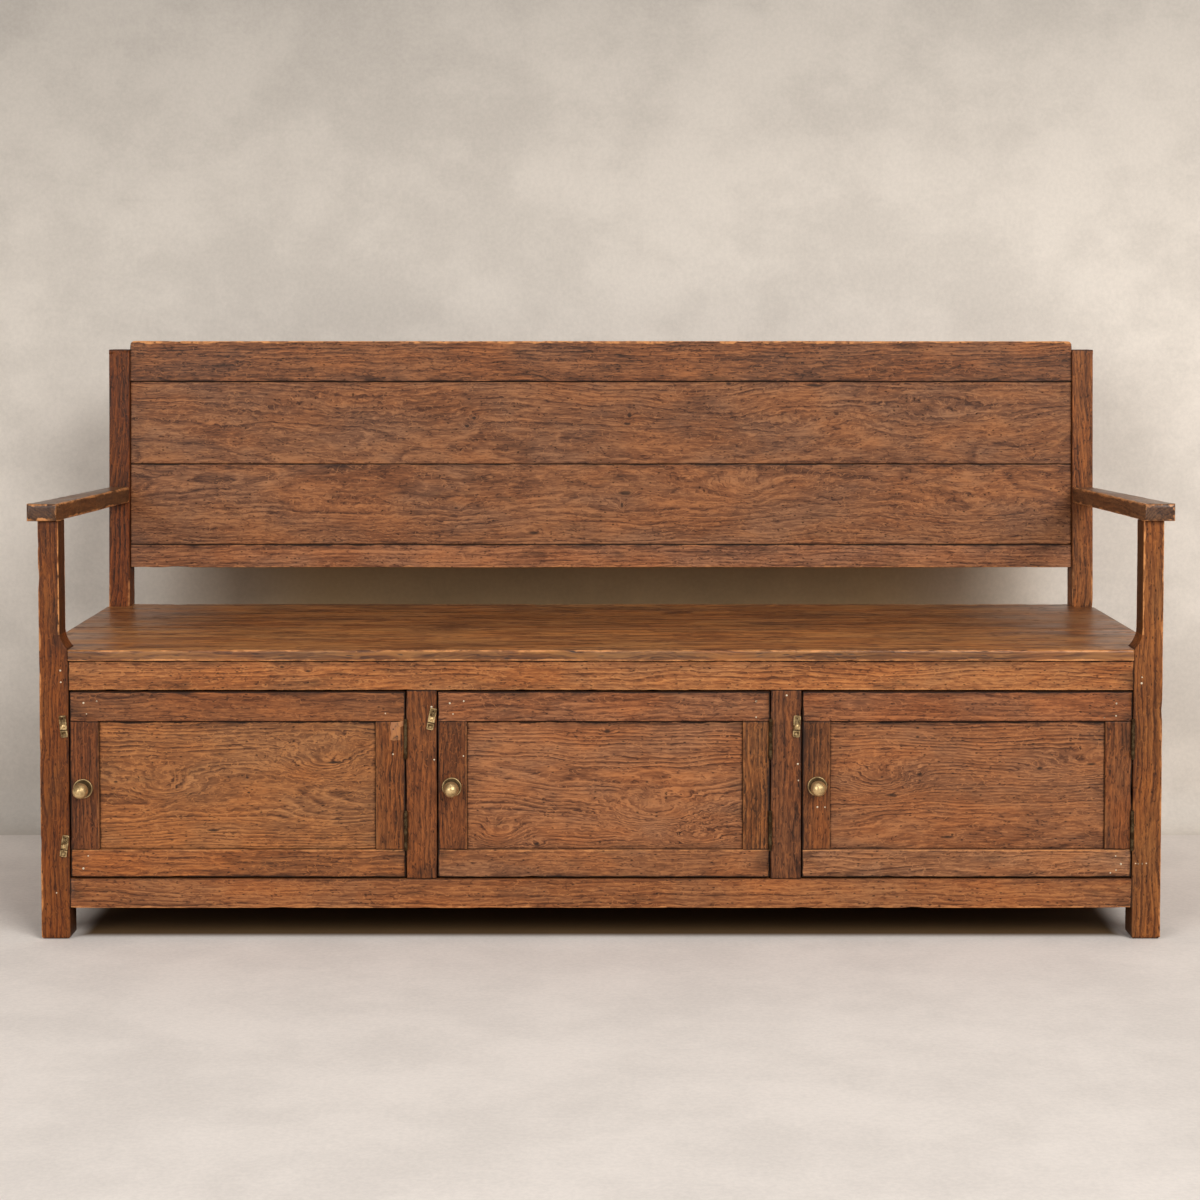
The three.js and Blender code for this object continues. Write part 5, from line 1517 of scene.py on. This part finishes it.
class BENCH_OT_ends(BoardsOperator, bpy.types.Operator):
    """Makes the rails and panels of the ends"""
    bl_idname = "bench.ends"
    bl_label = "Ends"

    def boards(self):
        return end_boards()


class BENCH_OT_inside(BoardsOperator, bpy.types.Operator):
    """Makes the rear plank, the cupboard floor and the partitions"""
    bl_idname = "bench.inside"
    bl_label = "Inside"

    def boards(self):
        return inner_boards()


class BENCH_OT_seat(BoardsOperator, bpy.types.Operator):
    """Makes the two boards of the seat"""
    bl_idname = "bench.seat"
    bl_label = "Seat"

    def boards(self):
        return seat_boards()


class BENCH_OT_arms(BoardsOperator, bpy.types.Operator):
    """Makes the arms"""
    bl_idname = "bench.arms"
    bl_label = "Arms"

    def boards(self):
        return arm_boards()


class BENCH_OT_back(BoardsOperator, bpy.types.Operator):
    """Makes the rails and boards of the back"""
    bl_idname = "bench.back"
    bl_label = "Back"

    def boards(self):
        return back_boards()


class BENCH_OT_doors(BoardsOperator, bpy.types.Operator):
    """Makes the frames and panels of the three doors"""
    bl_idname = "bench.doors"
    bl_label = "Doors"

    def boards(self):
        return [board for door in DOOR_NAMES for board in door_boards(door)]


class BENCH_OT_knobs(bpy.types.Operator):
    """Turns the three brass ball knobs"""
    bl_idname = "bench.knobs"
    bl_label = "Knobs"

    def execute(self, context):
        for i, door in enumerate(DOOR_NAMES):
            low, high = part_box(f"knob_{door}")
            centre = Vector(((low.x + high.x) / 2, DOOR_FACE, (low.z + high.z) / 2))
            data = lathe(f"knob_{door}_metal", knob_profile(), context.scene.bench_brass.knob_facets, centre)
            data.materials.append(brass_material(f"knob_{door}_brass", 3.7 * i, 0.45))
            show(f"knob_{door}_metal", data, f"door_{door}", [f"knob_{door}"])
        return {"FINISHED"}


class BENCH_OT_fittings(bpy.types.Operator):
    """Makes the hinges and the turn buttons"""
    bl_idname = "bench.fittings"
    bl_label = "Hinges and turn buttons"

    def execute(self, context):
        # The hinges are darkened all over, as tarnish and as painted shade of the door gaps that they sit in
        old = brass_material("hinge_brass_painted_shade", 11.0, 1.0, 1.0)
        handled = brass_material("button_brass", 17.0, 0.8, 0.17)
        for node in sorted(frame["nodes"]):
            if node.startswith("hinge_"):
                make_fitting(node, old, 0.3 * MM)
            elif node.startswith("turn_button_"):
                make_fitting(node, handled, 0.2 * MM, BUTTON_SUNK)
        return {"FINISHED"}


def patch_mesh():
    """The let-in patch, a little proud of the stile, with its outline eased."""
    mesh = bmesh.new()
    front = DOOR_FACE - PATCH_PROUD
    rims = []
    for y, inset in ((DOOR_FACE + PATCH_DEEP, 0), (front + 0.15 * MM, 0), (front, 0.35 * MM)):
        middle = Vector((sum(x for x, _z in PATCH_OUTLINE), 0, sum(z for _x, z in PATCH_OUTLINE)))
        middle *= MM / len(PATCH_OUTLINE)
        rim = []
        for x, z in PATCH_OUTLINE:
            place = Vector((x * MM, 0, z * MM))
            place -= (place - middle).normalized() * inset
            place.y = y
            rim.append(mesh.verts.new(place + drift(Vector((place.x, DOOR_FACE, place.z)))))
        rims.append(rim)
    count = len(PATCH_OUTLINE)
    for low, high in zip(rims, rims[1:]):
        for k in range(count):
            mesh.faces.new((low[k], low[(k + 1) % count], high[(k + 1) % count], high[k]))
    mesh.faces.new(rims[0][::-1])
    mesh.faces.new(rims[-1])
    bmesh.ops.recalc_face_normals(mesh, faces=mesh.faces)
    data = bpy.data.meshes.new("door_left_patch")
    mesh.to_mesh(data)
    mesh.free()
    finish_surface(data)
    return data


class BENCH_OT_patch(bpy.types.Operator):
    """Lets the small patch into the left door's hinge stile"""
    bl_idname = "bench.patch"
    bl_label = "Patch"

    def execute(self, context):
        wood = context.scene.bench_wood
        data = patch_mesh()
        material, tree, shader = new_material("patch_finish")
        vector = board_vector(tree, UPRIGHT, Vector())
        grain = cloud(tree, vector, 4.0, (60, 500, 500), 3, 0.6)
        stain = cloud(tree, vector, 9.0, (90, 90, 90), 3, 0.6)
        colour = blend(tree, span(tree, grain, 0.35, 0.65, 0.75, 0), wood.patch, wood.red_mid)
        colour = blend(tree, span(tree, stain, 0.5, 0.75, 0, 0.8), colour, wood.grime_and_shade)
        for x, z in PATCH_NAILS:
            place = UPRIGHT @ Vector((x * MM, DOOR_FACE - PATCH_PROUD, z * MM))
            far = vector_calc(tree, "LENGTH", vector_calc(tree, "SUBTRACT", vector, place))
            colour = blend(tree, span(tree, far, 0.9 * MM, 1.7 * MM, 0.9, 0), colour, wood.grime_and_shade)
        feed(tree, shader.inputs["Base Color"], colour)
        shader.inputs["Roughness"].default_value = 0.6
        data.materials.append(material)
        show("door_left_patch", data, "door_left")
        return {"FINISHED"}


class BENCH_OT_screws(bpy.types.Operator):
    """Sets the screws of the hinges and of the turn buttons"""
    bl_idname = "bench.screws"
    bl_label = "Screws"

    def execute(self, context):
        metal = context.scene.bench_brass
        material = brass_material("screw_brass", 23.0, 0.8)
        flat = dome("hinge_screw_head", metal.screw_radius, SCREW_PROUD, metal.slot_width)
        spots = {}
        for node in sorted(frame["nodes"]):
            if node.startswith("hinge_"):
                body = frame["nodes"][node]["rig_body"]
                spots.setdefault(body, []).extend(hinge_screw_spots(node))
        for body, places in spots.items():
            make_heads(f"hinge_screws_{body}", body, places, flat, material, spread=0.05)
        bpy.data.objects.remove(flat)
        raised = dome("button_screw_head", metal.button_screw_radius, BUTTON_SCREW_HEIGHT, metal.slot_width)
        for node in sorted(frame["nodes"]):
            if node.startswith("turn_button_"):
                low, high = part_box(node)
                middle = (low + high) / 2
                place = Vector((middle.x, low.y + BUTTON_SCREW_SUNK, middle.z))
                body = frame["nodes"][node]["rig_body"]
                make_heads(f"{node}_screw", body, [(place, (0, -1, 0))], raised, material, spread=0)
        bpy.data.objects.remove(raised)
        return {"FINISHED"}


class BENCH_OT_nails(bpy.types.Operator):
    """Sets the small nails in the posts and doors"""
    bl_idname = "bench.nails"
    bl_label = "Nails"

    def execute(self, context):
        metal = context.scene.bench_brass
        material = nail_material()
        head = dome("nail_head", metal.nail_radius, metal.nail_dome, 0)
        for body, spots in NAILS.items():
            places = [Vector((x * MM, y, z * MM)) for x, z, y in spots]
            facing = [(p + drift(p), (0, -1, 0)) for p in places]
            make_heads(f"nails_{body}", body, facing, head, material, spread=0.25)
        bpy.data.objects.remove(head)
        return {"FINISHED"}


OPERATORS = (
    BENCH_OT_shaders, BENCH_OT_stage, BENCH_OT_front, BENCH_OT_rear, BENCH_OT_ends, BENCH_OT_inside,
    BENCH_OT_seat, BENCH_OT_arms, BENCH_OT_back, BENCH_OT_doors, BENCH_OT_knobs, BENCH_OT_fittings,
    BENCH_OT_screws, BENCH_OT_nails, BENCH_OT_patch,
)


class BENCH_PT_panel(bpy.types.Panel):
    """Lists the steps that dress the bench, and the sizes and colours that they read"""
    bl_idname = "BENCH_PT_panel"
    bl_label = "Monks Bench"
    bl_space_type = "VIEW_3D"
    bl_region_type = "UI"
    bl_category = "Bench"

    def draw(self, context):
        for step in OPERATORS:
            self.layout.operator(step.bl_idname)
        for group in (context.scene.bench_wood, context.scene.bench_brass, context.scene.bench_stage):
            box = self.layout.box()
            for name in group.__annotations__:
                box.prop(group, name)


CLASSES = (BenchWood, BenchBrass, BenchStage, *OPERATORS, BENCH_PT_panel)


def register():
    noise.seed_set(NOISE_SEED)
    for item in CLASSES:
        bpy.utils.register_class(item)
    bpy.types.Scene.bench_wood = PointerProperty(type=BenchWood)
    bpy.types.Scene.bench_brass = PointerProperty(type=BenchBrass)
    bpy.types.Scene.bench_stage = PointerProperty(type=BenchStage)


def unregister():
    del bpy.types.Scene.bench_wood
    del bpy.types.Scene.bench_brass
    del bpy.types.Scene.bench_stage
    for item in reversed(CLASSES):
        bpy.utils.unregister_class(item)


def main():
    register()
    for step in OPERATORS:
        getattr(bpy.ops.bench, step.bl_idname.split(".")[1])()


if __name__ == "__main__":
    main()
